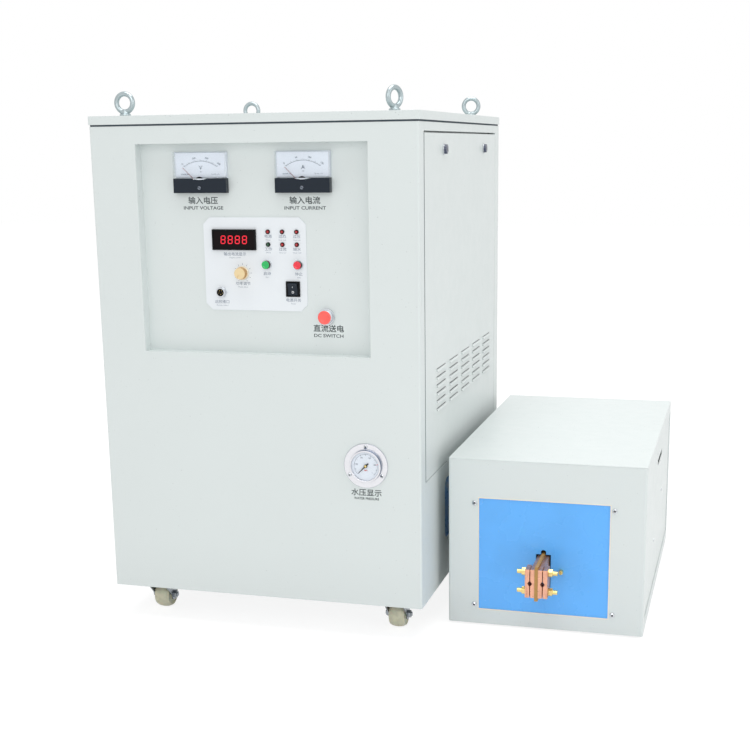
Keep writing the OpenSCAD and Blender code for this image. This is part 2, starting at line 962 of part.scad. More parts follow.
// Top plates, upper races and kingpins
module caster_plates() {
  color(zinc)
    for (sx = [-1, 1], sy = [-1, 1])
      translate([caster_x(sx), caster_y(sy), 0]) {
        translate([-plate_size_x / 2, -plate_size_y / 2, caster_h - caster_plate_t])
          cube([plate_size_x, plate_size_y, caster_plate_t]);
        translate([0, 0, caster_h - caster_plate_t - race_t / 2])
          cylinder(d = race_d, h = race_t / 2, $fn = many);
        translate([0, 0, crown_z - seat_gap])
          cylinder(d = kingpin_d, h = caster_h - crown_z, $fn = few);
        translate([0, 0, crown_z - seat_gap - kingpin_head_t])
          cylinder(d = kingpin_head_d, h = kingpin_head_t, $fn = few);
      }
}

// Fork: lower race, crown, two cheeks, and the axle bolt with its nuts
module caster_fork(sx, sy) {
  cheek_in = wheel_w / 2 + cheek_gap;
  race_top = caster_h - caster_plate_t - race_t / 2 - seat_gap;
  axle_l = 2 * (cheek_in + cheek_t + axle_nut_t) + 2 * sheet;
  translate([caster_x(sx), caster_y(sy), 0])
    color(chrome) {
      difference() {
        union() {
          translate([0, 0, crown_z])
            cylinder(d = race_d - sheet, h = race_top - crown_z, $fn = many);
          translate([-cheek_in - cheek_t, -cheek_top_w / 2, crown_z])
            cube([2 * (cheek_in + cheek_t), cheek_top_w, crown_t]);
          for (x = [-cheek_in - cheek_t, cheek_in])
            translate([x, 0, 0])
              fork_cheek();
        }
        translate([0, 0, -cut])
          cylinder(d = kingpin_d + 2 * run_gap, h = caster_h, $fn = few);
        translate([0, caster_trail, axle_z])
          crosswise(axle_d + 2 * bolt_gap, axle_l);
      }
      translate([0, caster_trail, axle_z]) {
        crosswise(axle_d, axle_l);
        for (x = [-cheek_in - cheek_t - axle_nut_t, cheek_in + cheek_t])
          translate([x, 0, 0])
            rotate([0, 90, 0])
              hex(axle_nut_af, axle_nut_t);
      }
    }
}

// Side plate of a fork, from the crown down to the axle
module fork_cheek() {
  rotate([90, 0, 90])
    linear_extrude(height = cheek_t) {
      translate([caster_trail, axle_z])
        circle(cheek_end_r, $fn = few);
      polygon([[-cheek_top_w / 2, crown_z + crown_t], [cheek_top_w / 2, crown_z + crown_t],
               [caster_trail + cheek_end_r, axle_z], [caster_trail - cheek_end_r, axle_z],
               [-cheek_top_w / 2, crown_z - crown_t]]);
    }
}

module caster_fork_fl() {
  caster_fork(-1, -1);
}

module caster_fork_fr() {
  caster_fork(1, -1);
}

module caster_fork_bl() {
  caster_fork(-1, 1);
}

module caster_fork_br() {
  caster_fork(1, 1);
}

// Wheel with a crowned tread, dished sides and a hub
module caster_wheel(sx, sy) {
  hub_half = wheel_w / 2 + cheek_gap / 2;
  r = wheel_d / 2;
  rim_r = r - 2 * tread_edge;
  color(nylon)
    translate([caster_x(sx), caster_y(sy) + caster_trail, axle_z])
      rotate([0, 90, 0])
        rotate_extrude($fn = many)
          polygon([[axle_d / 2 + run_gap, -hub_half], [hub_boss_d / 2, -hub_half],
                   [hub_boss_d / 2, web_sink - wheel_w / 2], [rim_r, web_sink - wheel_w / 2],
                   [rim_r, -wheel_w / 2], [r - tread_edge, -wheel_w / 2],
                   [r - tread_edge / 3, -wheel_w / 3], [r, -wheel_w / 8],
                   [r, wheel_w / 8], [r - tread_edge / 3, wheel_w / 3],
                   [r - tread_edge, wheel_w / 2], [rim_r, wheel_w / 2],
                   [rim_r, wheel_w / 2 - web_sink], [hub_boss_d / 2, wheel_w / 2 - web_sink],
                   [hub_boss_d / 2, hub_half], [axle_d / 2 + run_gap, hub_half]]);
}

module caster_wheel_fl() {
  caster_wheel(-1, -1);
}

module caster_wheel_fr() {
  caster_wheel(1, -1);
}

module caster_wheel_bl() {
  caster_wheel(-1, 1);
}

module caster_wheel_br() {
  caster_wheel(1, 1);
}

// Centre of a meter's window dip and of its needle plane
dip_z = strip_top + dip_up;
needle_y = (meter_front + meter_wall + recess_y - meter_flange - meter_dial_t) / 2;

// Black case of one meter: rear flange, barrel, front strip, pivot pin and zero screw
module meter_case() {
  difference() {
    union() {
      translate([-meter_w / 2, recess_y - meter_flange, meter_bottom])
        cube([meter_w, meter_flange, meter_h]);
      translate([0, recess_y + meter_back_l, (meter_top + meter_bottom) / 2])
        facing(meter_back_d, meter_back_l, many);
      translate([-meter_w / 2, meter_front, meter_bottom])
        cube([meter_w, meter_proud, meter_strip]);
    }
    translate([0, meter_front + meter_proud - meter_flange, dip_z])
      facing(2 * dip_r, meter_proud);
    translate([-meter_w / 2 + 3 * meter_wall, meter_front + meter_wall, meter_bottom + meter_wall])
      cube([meter_w - 6 * meter_wall, meter_proud - meter_flange - meter_wall, meter_strip]);
  }
  translate([0, recess_y - meter_flange, pivot_z])
    facing(pivot_pin_d, recess_y - meter_flange - needle_y + hub_t);
  translate([0, meter_front, pivot_z - hub_d / 4])
    facing(zero_screw_d, zero_screw_t);
}

module meter_cases() {
  color(strip_black)
    for (x = [volt_x, amp_x])
      translate([recess_l + x, 0, 0])
        meter_case();
}

// Scale plates of the two meters and of the pressure gauge
module dial_plates() {
  dial_z = strip_top + meter_wall;
  color(dial_white) {
    for (x = [volt_x, amp_x])
      translate([recess_l + x - meter_w / 2 + meter_dial_edge,
                 recess_y - meter_flange - meter_dial_t, dial_z])
        cube([meter_w - 2 * meter_dial_edge, meter_dial_t, meter_top - meter_dial_edge - dial_z]);
    translate([gauge_x, cab_front - gauge_proud + gauge_dial_sink, gauge_z])
      difference() {
        facing(gauge_bezel_d - 2 * gauge_wall - seat_gap, gauge_dial_t, many);
        translate([0, cut, 0])
          facing(gauge_pin_d + 2 * bolt_gap, gauge_dial_t + 2 * cut);
      }
  }
}

// Front outline of a meter's window; it dips into the strip at the middle
module window_outline(inset) {
  translate([-meter_w / 2 + inset, strip_top - cab_front + inset])
    square([meter_w - 2 * inset, meter_h - meter_strip - 2 * inset]);
  intersection() {
    translate([0, dip_z - cab_front])
      circle(dip_r - inset - seat_gap, $fn = many);
    translate([-dip_r, dip_z - cab_front - dip_r])
      square([2 * dip_r, dip_r]);
  }
}

// Clear windows of the meters and the gauge's glass
module instrument_glasses() {
  window_deep = meter_proud - meter_flange;
  color([0.8, 0.9, 0.95, 0.4]) {
    for (x = [volt_x, amp_x])
      translate([recess_l + x, meter_front + window_deep, cab_front])
        rotate([90, 0, 0])
          difference() {
            linear_extrude(height = window_deep)
              window_outline(0);
            translate([0, 0, -cut])
              linear_extrude(height = window_deep - meter_wall + cut)
                window_outline(meter_wall);
            translate([-dip_r, dip_z - cab_front - dip_r - cut, -cut])
              cube([2 * dip_r, dip_r, window_deep - meter_wall + cut]);
          }
    translate([gauge_x, cab_front - gauge_proud + gauge_wall, gauge_z])
      facing(gauge_bezel_d - 2 * gauge_wall - seat_gap, gauge_glass_t, many);
  }
}

// Needle with its hub, drawn upright and turned to its zero mark
module meter_needle_at(x) {
  color(black)
    translate([recess_l + x, needle_y, pivot_z])
      rotate([0, -needle_rest, 0])
        difference() {
          union() {
            translate([0, hub_t / 2, 0])
              facing(hub_d, hub_t);
            translate([-needle_w / 2, -needle_t / 2, -needle_tail])
              cube([needle_w, needle_t, needle_tail + meter_needle]);
          }
          translate([0, hub_t, 0])
            facing(pivot_pin_d + 2 * run_gap, 2 * hub_t);
        }
}

module voltmeter_needle() {
  meter_needle_at(volt_x);
}

module ammeter_needle() {
  meter_needle_at(amp_x);
}

// Middle of a fitting on the control plate, from its distances to the plate's corner
function on_plate(dx, dz) = [plate_l + dx, plate_y, plate_top - dz];

// White plate with cut corners and a hole for each fitting
module control_plate() {
  hole_t = plate_t + 2 * cut;
  color(plate_white)
    difference() {
      translate([plate_l, recess_y, plate_top - plate_h])
        rotate([90, 0, 0])
          linear_extrude(height = plate_t)
            polygon([[plate_cut, 0], [plate_w - plate_cut, 0], [plate_w, plate_cut],
                     [plate_w, plate_h - plate_cut], [plate_w - plate_cut, plate_h],
                     [plate_cut, plate_h], [0, plate_h - plate_cut], [0, plate_cut]]);
      translate([plate_l + display_dx + display_rim - bolt_gap, plate_y - cut,
                 plate_top - display_dz - display_h + display_rim - bolt_gap])
        cube([display_w - 2 * display_rim + 2 * bolt_gap, hole_t,
              display_h - 2 * display_rim + 2 * bolt_gap]);
      for (dx = lamp_dx, dz = lamp_dz)
        translate(on_plate(dx, dz) + [0, hole_t - cut, 0])
          facing(lamp_body_d + 2 * bolt_gap, hole_t);
      for (dx = [start_dx, stop_dx])
        translate(on_plate(dx, buttons_dz) + [0, hole_t - cut, 0])
          facing(button_d + 2 * button_wall + 2 * bolt_gap, hole_t);
      translate(on_plate(knob_dx, knob_dz) + [0, hole_t - cut, 0])
        facing(shaft_d + 2 * bolt_gap, hole_t);
      translate(on_plate(socket_dx, socket_dz) + [0, hole_t - cut, 0])
        facing(socket_d - 2 * socket_nut_t + 2 * bolt_gap, hole_t);
      translate([plate_l + rocker_dx - rocker_w / 2 + rocker_rim - bolt_gap, plate_y - cut,
                 plate_top - rocker_dz - rocker_h / 2 + rocker_rim / 2 - bolt_gap])
        cube([rocker_w - 2 * rocker_rim + 2 * bolt_gap, hole_t,
              rocker_h - rocker_rim + 2 * bolt_gap]);
    }
}

// Display case: bezel with a sunk front, body through the plate
module display_housing() {
  color(black)
    translate([plate_l + display_dx, plate_y, plate_top - display_dz - display_h])
      difference() {
        union() {
          translate([0, -display_proud, 0])
            cube([display_w, display_proud, display_h]);
          translate([display_rim, 0, display_rim])
            cube([display_w - 2 * display_rim, display_deep, display_h - 2 * display_rim]);
        }
        translate([display_rim, -display_proud - cut, display_rim])
          cube([display_w - 2 * display_rim, display_sink + cut, display_h - 2 * display_rim]);
      }
}

// Six indicator lamps, each a bezel with a domed lens and a body through the plate
module indicator_lamps() {
  color(lamp_red)
    for (dx = lamp_dx, dz = lamp_dz)
      translate(on_plate(dx, dz)) {
        facing(lamp_d, lamp_proud);
        intersection() {
          translate([0, -lamp_proud + lamp_dome / 2, 0])
            sphere(d = lamp_dome + lamp_proud, $fn = few);
          facing(lamp_body_d, 2 * lamp_proud);
        }
        translate([0, lamp_deep, 0])
          facing(lamp_body_d, lamp_deep);
      }
}

// Knob: skirt, ribbed cap and pointer mark, on the potentiometer's shaft
module power_knob() {
  ribs = 24;
  rib_d = knob_cap_d / ribs;
  color(tan)
    translate(on_plate(knob_dx, knob_dz) + [0, -knob_lift, 0])
      difference() {
        union() {
          facing(knob_d, knob_skirt_t, many);
          facing(knob_cap_d, knob_h - knob_lift, many);
          for (i = [0:ribs - 1])
            rotate([0, i * 360 / ribs, 0])
              translate([knob_cap_d / 2, 0, 0])
                facing(rib_d, knob_h - 2 * knob_lift, 12);
        }
        translate([0, cut, 0])
          facing(shaft_d + 2 * run_gap, shaft_l + 2 * cut);
        rotate([0, -knob_zero, 0])
          translate([-knob_mark / 2, -knob_h, knob_cap_d / 6])
            cube([knob_mark, knob_lift + knob_mark / 2, knob_cap_d / 2]);
      }
}

// Push cap in its collar, its face proud of the surface that the collar stands on
module push_cap(d, proud, travel) {
  difference() {
    translate([0, travel, 0])
      facing(d, proud + travel, many);
    translate([0, -proud - d, 0])
      sphere(r = d + d * cap_dish_share, $fn = many);
  }
}

module start_button() {
  color(green)
    translate(on_plate(start_dx, buttons_dz))
      push_cap(button_d, button_proud, button_travel);
}

module stop_button() {
  color(red)
    translate(on_plate(stop_dx, buttons_dz))
      push_cap(button_d, button_proud, button_travel);
}

module dc_button() {
  color(salmon)
    translate([recess_l + dc_dx, recess_y, recess_t - dc_dz])
      push_cap(dc_d, dc_proud, dc_travel);
}

// Body of a push button: collar in front, threaded barrel and contact block behind
module push_body(d, wall, collar_t, travel, deep) {
  well = 2 * travel + seat_gap;
  difference() {
    union() {
      facing(d + 2 * wall + 2 * wall, collar_t, many);
      translate([0, deep, 0])
        facing(d + 2 * wall, deep, many);
    }
    translate([0, well, 0])
      facing(d + 2 * run_gap, well + collar_t + cut, many);
  }
}

// Bodies of the three push buttons, and the potentiometer with its shaft
module switch_bodies() {
  color(chrome) {
    for (dx = [start_dx, stop_dx])
      translate(on_plate(dx, buttons_dz))
        push_body(button_d, button_wall, button_collar_t, button_travel, button_deep);
    translate([recess_l + dc_dx, recess_y, recess_t - dc_dz])
      push_body(dc_d, dc_wall, dc_collar_t, dc_travel, dc_deep);
    translate(on_plate(knob_dx, knob_dz)) {
      translate([0, plate_t, 0])
        facing(shaft_d, shaft_l + plate_t);
      translate([0, plate_t + pot_deep, 0])
        facing(pot_d, pot_deep);
    }
  }
}

// Middle of the rocker's trunnions
rocker_at = [plate_l + rocker_dx, plate_y, plate_top - rocker_dz];
rocker_in_w = rocker_w - 2 * rocker_rim - 2 * rocker_trunnion_l;

// Rocker: a drum round its trunnions, cut by two faces that meet at the middle
module main_rocker() {
  half = rocker_swing / 2;
  color(black)
    translate(rocker_at)
      rotate([half, 0, 0]) {
        intersection() {
          crosswise(2 * rocker_reach, rocker_in_w - 2 * seat_gap, many);
          union()
            for (a = [half, -half])
              rotate([a, 0, 0])
                translate([-rocker_w / 2, -rocker_rim_t - seat_gap, -rocker_reach])
                  cube([rocker_w, 2 * rocker_reach, 2 * rocker_reach]);
        }
        crosswise(rocker_trunnion_d, rocker_in_w + rocker_trunnion_l);
      }
}

// Housing with a bezel, a well that clears the rocker's drum, and trunnion bores
module rocker_housing() {
  well_h = 2 * (rocker_reach + seat_gap);
  body_w = rocker_w - 2 * rocker_rim;
  body_h = rocker_h - rocker_rim;
  color(black)
    translate(rocker_at)
      difference() {
        union() {
          translate([-rocker_w / 2, -rocker_rim_t, -rocker_h / 2])
            cube([rocker_w, rocker_rim_t, rocker_h]);
          translate([-body_w / 2, -rocker_rim_t, -body_h / 2])
            cube([body_w, rocker_rim_t + rocker_deep, body_h]);
        }
        translate([-rocker_in_w / 2, -rocker_rim_t - cut, -well_h / 2])
          cube([rocker_in_w, rocker_rim_t + rocker_reach + seat_gap + cut, well_h]);
        crosswise(rocker_trunnion_d + 2 * run_gap, rocker_in_w + rocker_trunnion_l + 2 * seat_gap);
      }
}

// Round remote-control socket: threaded shell, nut and rear body, open to the front
module remote_socket() {
  color(chrome)
    translate(on_plate(socket_dx, socket_dz))
      difference() {
        union() {
          facing(socket_d + socket_nut_t, socket_nut_t, 6);
          facing(socket_d - socket_nut_t / 2, socket_proud, many);
          translate([0, socket_deep, 0])
            facing(socket_d - 2 * socket_nut_t, socket_deep);
        }
        translate([0, -socket_floor, 0])
          facing(socket_bore_d, socket_proud + cut, many);
      }
}

// Circuit board behind the control plate, on four posts
module control_board() {
  post_l = pcb_off - sheet;
  edge = plate_margin / 2;
  color(pcb_green)
    translate([plate_l, recess_y + sheet, plate_top - plate_h]) {
      translate([0, post_l, 0])
        cube([plate_w, pcb_t, plate_h]);
      for (x = [edge, plate_w - edge], z = [edge, plate_h - edge])
        translate([x, post_l, z])
          facing(post_d, post_l);
    }
}

// Gauge: flange, bezel round a sunk dial seat, rear can, stem and pivot pin
module gauge_case() {
  sink_d = gauge_bezel_d - 2 * gauge_wall;
  sink = gauge_dial_sink;
  color([0.89, 0.88, 0.89])
    translate([gauge_x, cab_front, gauge_z]) {
      difference() {
        union() {
          facing(gauge_d, gauge_flange_t, many);
          facing(gauge_bezel_d, gauge_proud, many);
          translate([0, gauge_deep, 0])
            facing(gauge_body_d, gauge_deep, many);
          translate([0, gauge_deep + gauge_stem_l, 0])
            facing(gauge_stem_d, gauge_stem_l);
        }
        translate([0, sink - gauge_proud, 0])
          facing(sink_d, sink + cut, many);
        for (a = [90, 210, 330])
          translate([gauge_screw_ring * cos(a), cut, gauge_screw_ring * sin(a)])
            facing(small_screw_d + 2 * bolt_gap, gauge_flange_t + 2 * cut);
      }
      translate([0, sink - gauge_proud, 0])
        facing(gauge_pin_d, gauge_hub_t + gauge_dial_t);
    }
}

// Gauge needle with a forked tail, at its zero
module gauge_needle() {
  hub_back = cab_front - gauge_proud + gauge_dial_sink - gauge_dial_t - seat_gap;
  color(black)
    translate([gauge_x, hub_back, gauge_z])
      rotate([0, -gauge_zero, 0])
        difference() {
          union() {
            facing(gauge_hub_d, gauge_hub_t - seat_gap);
            translate([0, -gauge_hub_t / 2, 0])
              rotate([90, 0, 0])
                linear_extrude(height = needle_t, center = true)
                  polygon([[-gauge_needle_w, -gauge_tail_l], [0, -gauge_tail_l + gauge_needle_w * 2],
                           [gauge_needle_w, -gauge_tail_l], [gauge_needle_w, 0],
                           [gauge_needle_w / 4, gauge_needle_l], [-gauge_needle_w / 4, gauge_needle_l],
                           [-gauge_needle_w, 0]]);
          }
          translate([0, cut, 0])
            facing(gauge_pin_d + 2 * run_gap, gauge_hub_t + 2 * cut);
        }
}

// Water-cooled plate on two feet, with its water ways drilled across
module cooling_plate() {
  color(alloy)
    difference() {
      union() {
        translate([-cool_w / 2, -cool_t / 2, cool_z])
          cube([cool_w, cool_t, cool_h]);
        for (x = [-cool_w / 2, cool_w / 2 - angle_leg])
          translate([x, -cool_t / 2, floor_top])
            cube([angle_leg, cool_t, cool_z - floor_top]);
      }
      for (z = [1, 2, 3])
        translate([0, 0, cool_z + z * cool_h / 4])
          crosswise(cool_bore, cool_w + 2 * cut);
    }
}

// Rectifier and inverter modules on the front of the cooling plate
module power_modules() {
  step = cool_h / module_n;
  color(black)
    for (x = [-1, 1], i = [0:module_n - 1])
      translate([x * cool_w / 4 - module_w / 2, -cool_t / 2 - module_t,
                 cool_z + i * step + (step - module_h) / 2]) {
        cube([module_w, module_t, module_h]);
        for (j = [1, 2, 3])
          translate([j * module_w / 4, 0, module_h / 2])
            facing(tail_d, small_head_t);
      }
}

// DC capacitors: cans standing on the base sheet, joined by a bus plate
module capacitor_bank() {
  step = can_d + can_gap;
  y0 = cab_back - 3 * can_d;
  color(alloy)
    for (i = [0, 1, 2]) {
      translate([(i - 1) * step, y0, floor_top])
        cylinder(d = can_d, h = can_h, $fn = many);
      translate([(i - 1) * step, y0, floor_top + can_h])
        cylinder(d = can_d / 4, h = can_gap, $fn = few);
    }
  color(copper)
    translate([-step - can_d / 2, y0 - can_d / 4, floor_top + can_h + can_gap])
      cube([2 * step + can_d, can_d / 2, bus_t]);
}

// Manifold bar against the rear panel with four hose tails through it
module water_manifold() {
  color(brass)
    difference() {
      union() {
        translate([-manifold_w / 2, cab_back - sheet - manifold_d, manifold_z - manifold_h / 2])
          cube([manifold_w, manifold_d, manifold_h]);
        for (i = [-1.5:1:1.5])
          translate([i * tail_pitch, cab_back, manifold_z])
            rotate([-90, 0, 0])
              tail_outside(sheet + cut);
      }
      for (i = [-1.5:1:1.5])
        translate([i * tail_pitch, cab_back + tail_l + cut, manifold_z])
          facing(tail_bore, tail_l + manifold_d / 2 + cut);
    }
}

// Gland for the mains cable, through the rear panel
module mains_gland() {
  color(black)
    translate([cab_left + gland_side, cab_back, gland_z])
      rotate([-90, 0, 0])
        difference() {
          union() {
            hex(gland_d + tail_hex_t, tail_hex_t);
            cylinder(d = gland_d, h = gland_l, $fn = few);
            translate([0, 0, -tail_thread_l])
              cylinder(d = gland_d, h = tail_thread_l, $fn = few);
          }
          translate([0, 0, -tail_thread_l - cut])
            cylinder(d = gland_bore, h = gland_l + tail_thread_l + 2 * cut, $fn = few);
        }
}

// Places of the output terminals on their board, as [y, z]
terminal_places = [for (i = [-1, 1], j = [-1, 1])
                     [cab_front + window_front + window_l / 2 + i * window_l / 4,
                      window_z + window_h / 2 + j * window_h / 5]];

// Blue board behind the window in the right side
module output_board() {
  color(board_blue)
    difference() {
      translate([cab_right - sheet - out_board_t, cab_front + window_front - board_lap, window_z - board_lap])
        cube([out_board_t, window_l + 2 * board_lap, window_h + 2 * board_lap]);
      for (p = terminal_places)
        translate([cab_right - sheet - out_board_t / 2, p[0], p[1]])
          crosswise(stud_d + 2 * bolt_gap, out_board_t + 2 * cut);
    }
}

// Four output studs with a nut on each side of the board
module output_terminals() {
  color(brass)
    for (p = terminal_places)
      translate([cab_right - sheet - out_board_t / 2, p[0], p[1]]) {
        crosswise(stud_d, out_board_t + 4 * nut_t);
        for (x = [out_board_t / 2, -out_board_t / 2 - nut_t])
          translate([x, 0, 0])
            rotate([0, 90, 0])
              hex(nut_af, nut_t);
      }
}

// Moves what follows to the head's front left corner on the floor
module at_head() {
  translate([head_x, head_y, 0])
    children();
}

// Places of the terminal board's screws, as [x, z] from the head's front left corner
board_screws = [for (s = [-1, 1], up = [board_screw_low, board_screw_high])
                  [board_x + board_w / 2 + s * board_screw_dx, board_z + up]];

// Head chassis: base with side rims, folded front panel, rear panel
module head_chassis() {
  top = head_h - sheet;
  color(paint)
    at_head()
      difference() {
        union() {
          translate([0, 0, base_z])
            linear_extrude(height = top - base_z)
              folded_u(head_w, head_return, bend_r, sheet);
          translate([0, 0, base_z])
            linear_extrude(height = sheet)
              round_front(head_w, head_d, bend_r);
          for (x = [0, head_w - sheet])
            translate([x, head_return - sheet, base_z])
              cube([sheet, head_d - head_return + sheet, rim_h]);
          translate([0, head_d - sheet, base_z])
            cube([head_w, sheet, top - base_z]);
        }
        translate([board_x, -cut, board_z])
          cube([board_w, sheet + 2 * cut, board_h]);
        for (p = board_screws)
          translate([p[0], sheet + cut, p[1]])
            facing(screw_d + 2 * bolt_gap, sheet + 2 * cut);
        for (dx = head_tail_dx, z = head_tail_z)
          translate([head_w - dx, head_d + cut, z])
            facing(tail_d + 2 * bolt_gap, sheet + 2 * cut);
      }
}

// Top cover with a skirt along each side
module head_cover() {
  color(paint)
    at_head() {
      translate([0, 0, head_h - sheet])
        linear_extrude(height = sheet)
          round_front(head_w, head_d, bend_r);
      for (x = [0, head_w - sheet])
        translate([x, head_return + seat_gap, head_h - cover_skirt])
          cube([sheet, head_d - head_return - sheet - 2 * seat_gap, cover_skirt]);
    }
}

// Left and right side covers, set in behind the front's returns
module head_side_covers() {
  h = head_h - sheet - seat_gap - base_z - sheet;
  color(paint)
    at_head()
      for (s = [0, 1])
        translate([s * head_w, 0, 0])
          mirror([s, 0, 0])
            difference() {
              translate([sheet, bend_r, base_z + sheet])
                cube([sheet, head_d - bend_r - sheet, h]);
              translate([sheet - cut, slot_y - slot_l / 2, head_h - slot_drop])
                cube([sheet + 2 * cut, slot_l, slot_h]);
              for (p = cover_screw_places)
                translate([sheet * 1.5, p[0], p[1]])
                  crosswise(small_screw_d + 2 * bolt_gap, sheet + 2 * cut);
            }
}

// Blue board behind the head's front, with the hole for the output bars
module terminal_board() {
  color(board_blue)
    at_head()
      difference() {
        translate([board_x - board_lap, sheet, board_z - board_lap])
          cube([board_w + 2 * board_lap, board_t, board_h + 2 * board_lap]);
        translate([clamp_x - head_x, 0, clamp_z]) {
          translate([-board_hole_w / 2, 0, -board_hole_down])
            cube([board_hole_w, 2 * board_t, board_hole_up + board_hole_down]);
          translate([0, 2 * board_t, notch_up])
            facing(2 * notch_r, 2 * board_t);
          translate([board_stud_dx, 2 * board_t, 0])
            facing(screw_d, 2 * board_t);
        }
        for (p = board_screws)
          translate([p[0], sheet + board_t + cut, p[1]])
            facing(screw_d + 2 * bolt_gap, board_t + 2 * cut);
      }
}

// Front screws of the head and the small screws of its side covers
module head_screws() {
  color(chrome)
    at_head() {
      for (p = board_screws)
        translate([p[0], 0, p[1]])
          pan_screw(screw_d, screw_head_d, screw_head_t, screw_l);
      for (s = [0, 1], p = cover_screw_places)
        translate([s * head_w, 0, 0])
          mirror([s, 0, 0])
            translate([sheet, p[0], p[1]])
              rotate([0, 0, -90])
                pan_screw(small_screw_d, small_head_d, sheet - seat_gap, small_screw_l);
    }
}

// Outline of an output bar in plan height: a V groove in its outer face
module grooved(t, h, reach) {
  polygon([[0, -h / 2], [t, -h / 2], [t, -reach], [t - hole_half_w + slit / 2, 0],
           [t, reach], [t, h / 2], [0, h / 2]]);
}

// The two copper bars, each grooved for the coil's tube
module output_bars() {
  reach = hole_half_h - slit / 2;
  color(copper)
    translate([clamp_x, head_y, clamp_z])
      for (s = [0, 1])
        mirror([s, 0, 0])
          difference() {
            union() {
              translate([bar_side, -bar_reach + jaw_l, 0])
                rotate([90, 0, 0])
                  linear_extrude(height = jaw_l)
                    grooved(bar_t, bar_h, reach);
              translate([bar_side, -bar_reach + jaw_l, -bar_h / 2])
                cube([bar_t, bar_reach - jaw_l + bar_tail_l, bar_h]);
            }
            for (z = [-stud_rise, stud_rise])
              translate([bar_side + stud_in + bar_t, stud_y - bar_reach, z])
                crosswise(stud_d + 2 * bolt_gap, 2 * bar_t);
          }
}

// The two outer jaws that clamp the coil's tube against the bars
module clamp_jaws() {
  reach = hole_half_h - slit / 2;
  color(copper)
    translate([clamp_x, head_y, clamp_z])
      for (s = [0, 1])
        mirror([s, 0, 0])
          difference() {
            translate([bar_side + bar_t + slit + jaw_t, -bar_reach + jaw_l, 0])
              mirror([1, 0, 0])
                rotate([90, 0, 0])
                  linear_extrude(height = jaw_l)
                    grooved(jaw_t, bar_h, reach);
            for (z = [-stud_rise, stud_rise])
              translate([bar_side + bar_t + slit + jaw_t / 2, stud_y - bar_reach, z])
                crosswise(stud_d + 2 * bolt_gap, jaw_t + 2 * cut);
          }
}

// Insulating sheet between the bars
module insulation_sheet() {
  color(ochre)
    translate([clamp_x - insul_t / 2, head_y - bar_reach, clamp_z - bar_h / 2 - insul_below])
      cube([insul_t, bar_reach + bar_tail_l, bar_h + insul_below + insul_above]);
}

// Brass studs in the bars, their nuts outside the jaws, and the stud on the board
module clamp_studs() {
  jaw_out = bar_side + bar_t + slit + jaw_t;
  color(brass) {
    translate([clamp_x, head_y - bar_reach + stud_y, clamp_z])
      for (s = [0, 1], z = [-stud_rise, stud_rise])
        mirror([s, 0, 0])
          translate([0, 0, z])
            rotate([0, 90, 0]) {
              translate([0, 0, bar_side + stud_in + seat_gap])
                cylinder(d = stud_d, h = jaw_out + stud_out - bar_side - stud_in - seat_gap, $fn = few);
              translate([0, 0, jaw_out])
                hex(nut_af, nut_t);
            }
    translate([clamp_x + board_stud_dx, head_y + sheet, clamp_z]) {
      facing(stud_d, board_stud_l);
      translate([0, board_t, 0])
        facing(screw_d - 2 * run_gap, board_t);
    }
  }
}

// Output transformer: a ferrite frame on feet round the copper secondary block
module output_transformer() {
  color(ferrite)
    translate([clamp_x, head_y + bar_tail_l, clamp_z]) {
      difference() {
        translate([-core_w / 2, sheet, -core_h / 2])
          cube([core_w, core_l, core_h]);
        translate([-core_window_w / 2, 0, -core_window_h / 2])
          cube([core_window_w, core_l + 2 * sheet, core_window_h]);
      }
      for (x = [-core_w / 2, core_w / 2 - core_foot])
        translate([x, sheet, base_z + sheet - clamp_z])
          cube([core_foot, core_l, clamp_z - core_h / 2 - base_z - sheet]);
    }
  color(copper)
    translate([clamp_x - core_window_w / 2, head_y + bar_tail_l, clamp_z - core_window_h / 2])
      difference() {
        cube([core_window_w, block_l, core_window_h]);
        translate([core_window_w / 2 - bar_side, -cut, -cut])
          cube([insul_t, block_l - core_window_w / 2 + cut, core_window_h + 2 * cut]);
      }
}

// Tank capacitors on the base, joined on top by a copper plate
module tank_capacitors() {
  step = cap_size + cap_gap;
  y0 = head_d - sheet - cap_back - cap_rows_n * step + cap_gap;
  x0 = (head_w - 2 * cap_size - cap_gap) / 2;
  z0 = base_z + sheet;
  color(black)
    at_head()
      for (i = [0, 1], j = [0:cap_rows_n - 1])
        translate([x0 + i * step, y0 + j * step, z0])
          cube([cap_size, cap_size, cap_h]);
  color(copper)
    at_head()
      translate([x0, y0, z0 + cap_h])
        cube([2 * cap_size + cap_gap, cap_rows_n * step - cap_gap, bus_t]);
}

// Four rubber feet
module head_feet() {
  color(black)
    at_head()
      for (x = [foot_inset, head_w - foot_inset], y = [foot_inset, head_d - foot_inset])
        translate([x, y, 0])
          cylinder(d = foot_d, h = foot_h, $fn = few);
}

// Hose tails at the head's rear, close to its right side
module head_hose_tails() {
  color(brass)
    at_head()
      for (dx = head_tail_dx, z = head_tail_z)
        translate([head_w - dx, head_d, z])
          hose_tail();
}

base_frame();
body_frame();
front_panel();
rear_panel();
lid();
eye_bolts();
instrument_panel();
right_side_panel();
left_side_panel();
right_lock_front();
right_lock_rear();
cabinet_screws();
caster_plates();
caster_fork_fl();
caster_fork_fr();
caster_fork_bl();
caster_fork_br();
caster_wheel_fl();
caster_wheel_fr();
caster_wheel_bl();
caster_wheel_br();
meter_cases();
dial_plates();
instrument_glasses();
voltmeter_needle();
ammeter_needle();
control_plate();
display_housing();
indicator_lamps();
power_knob();
start_button();
stop_button();
dc_button();
switch_bodies();
main_rocker();
rocker_housing();
remote_socket();
control_board();
gauge_case();
gauge_needle();
cooling_plate();
power_modules();
capacitor_bank();
water_manifold();
mains_gland();
output_board();
output_terminals();
head_chassis();
head_cover();
head_side_covers();
terminal_board();
head_screws();
output_bars();
clamp_jaws();
insulation_sheet();
clamp_studs();
output_transformer();
tank_capacitors();
head_feet();
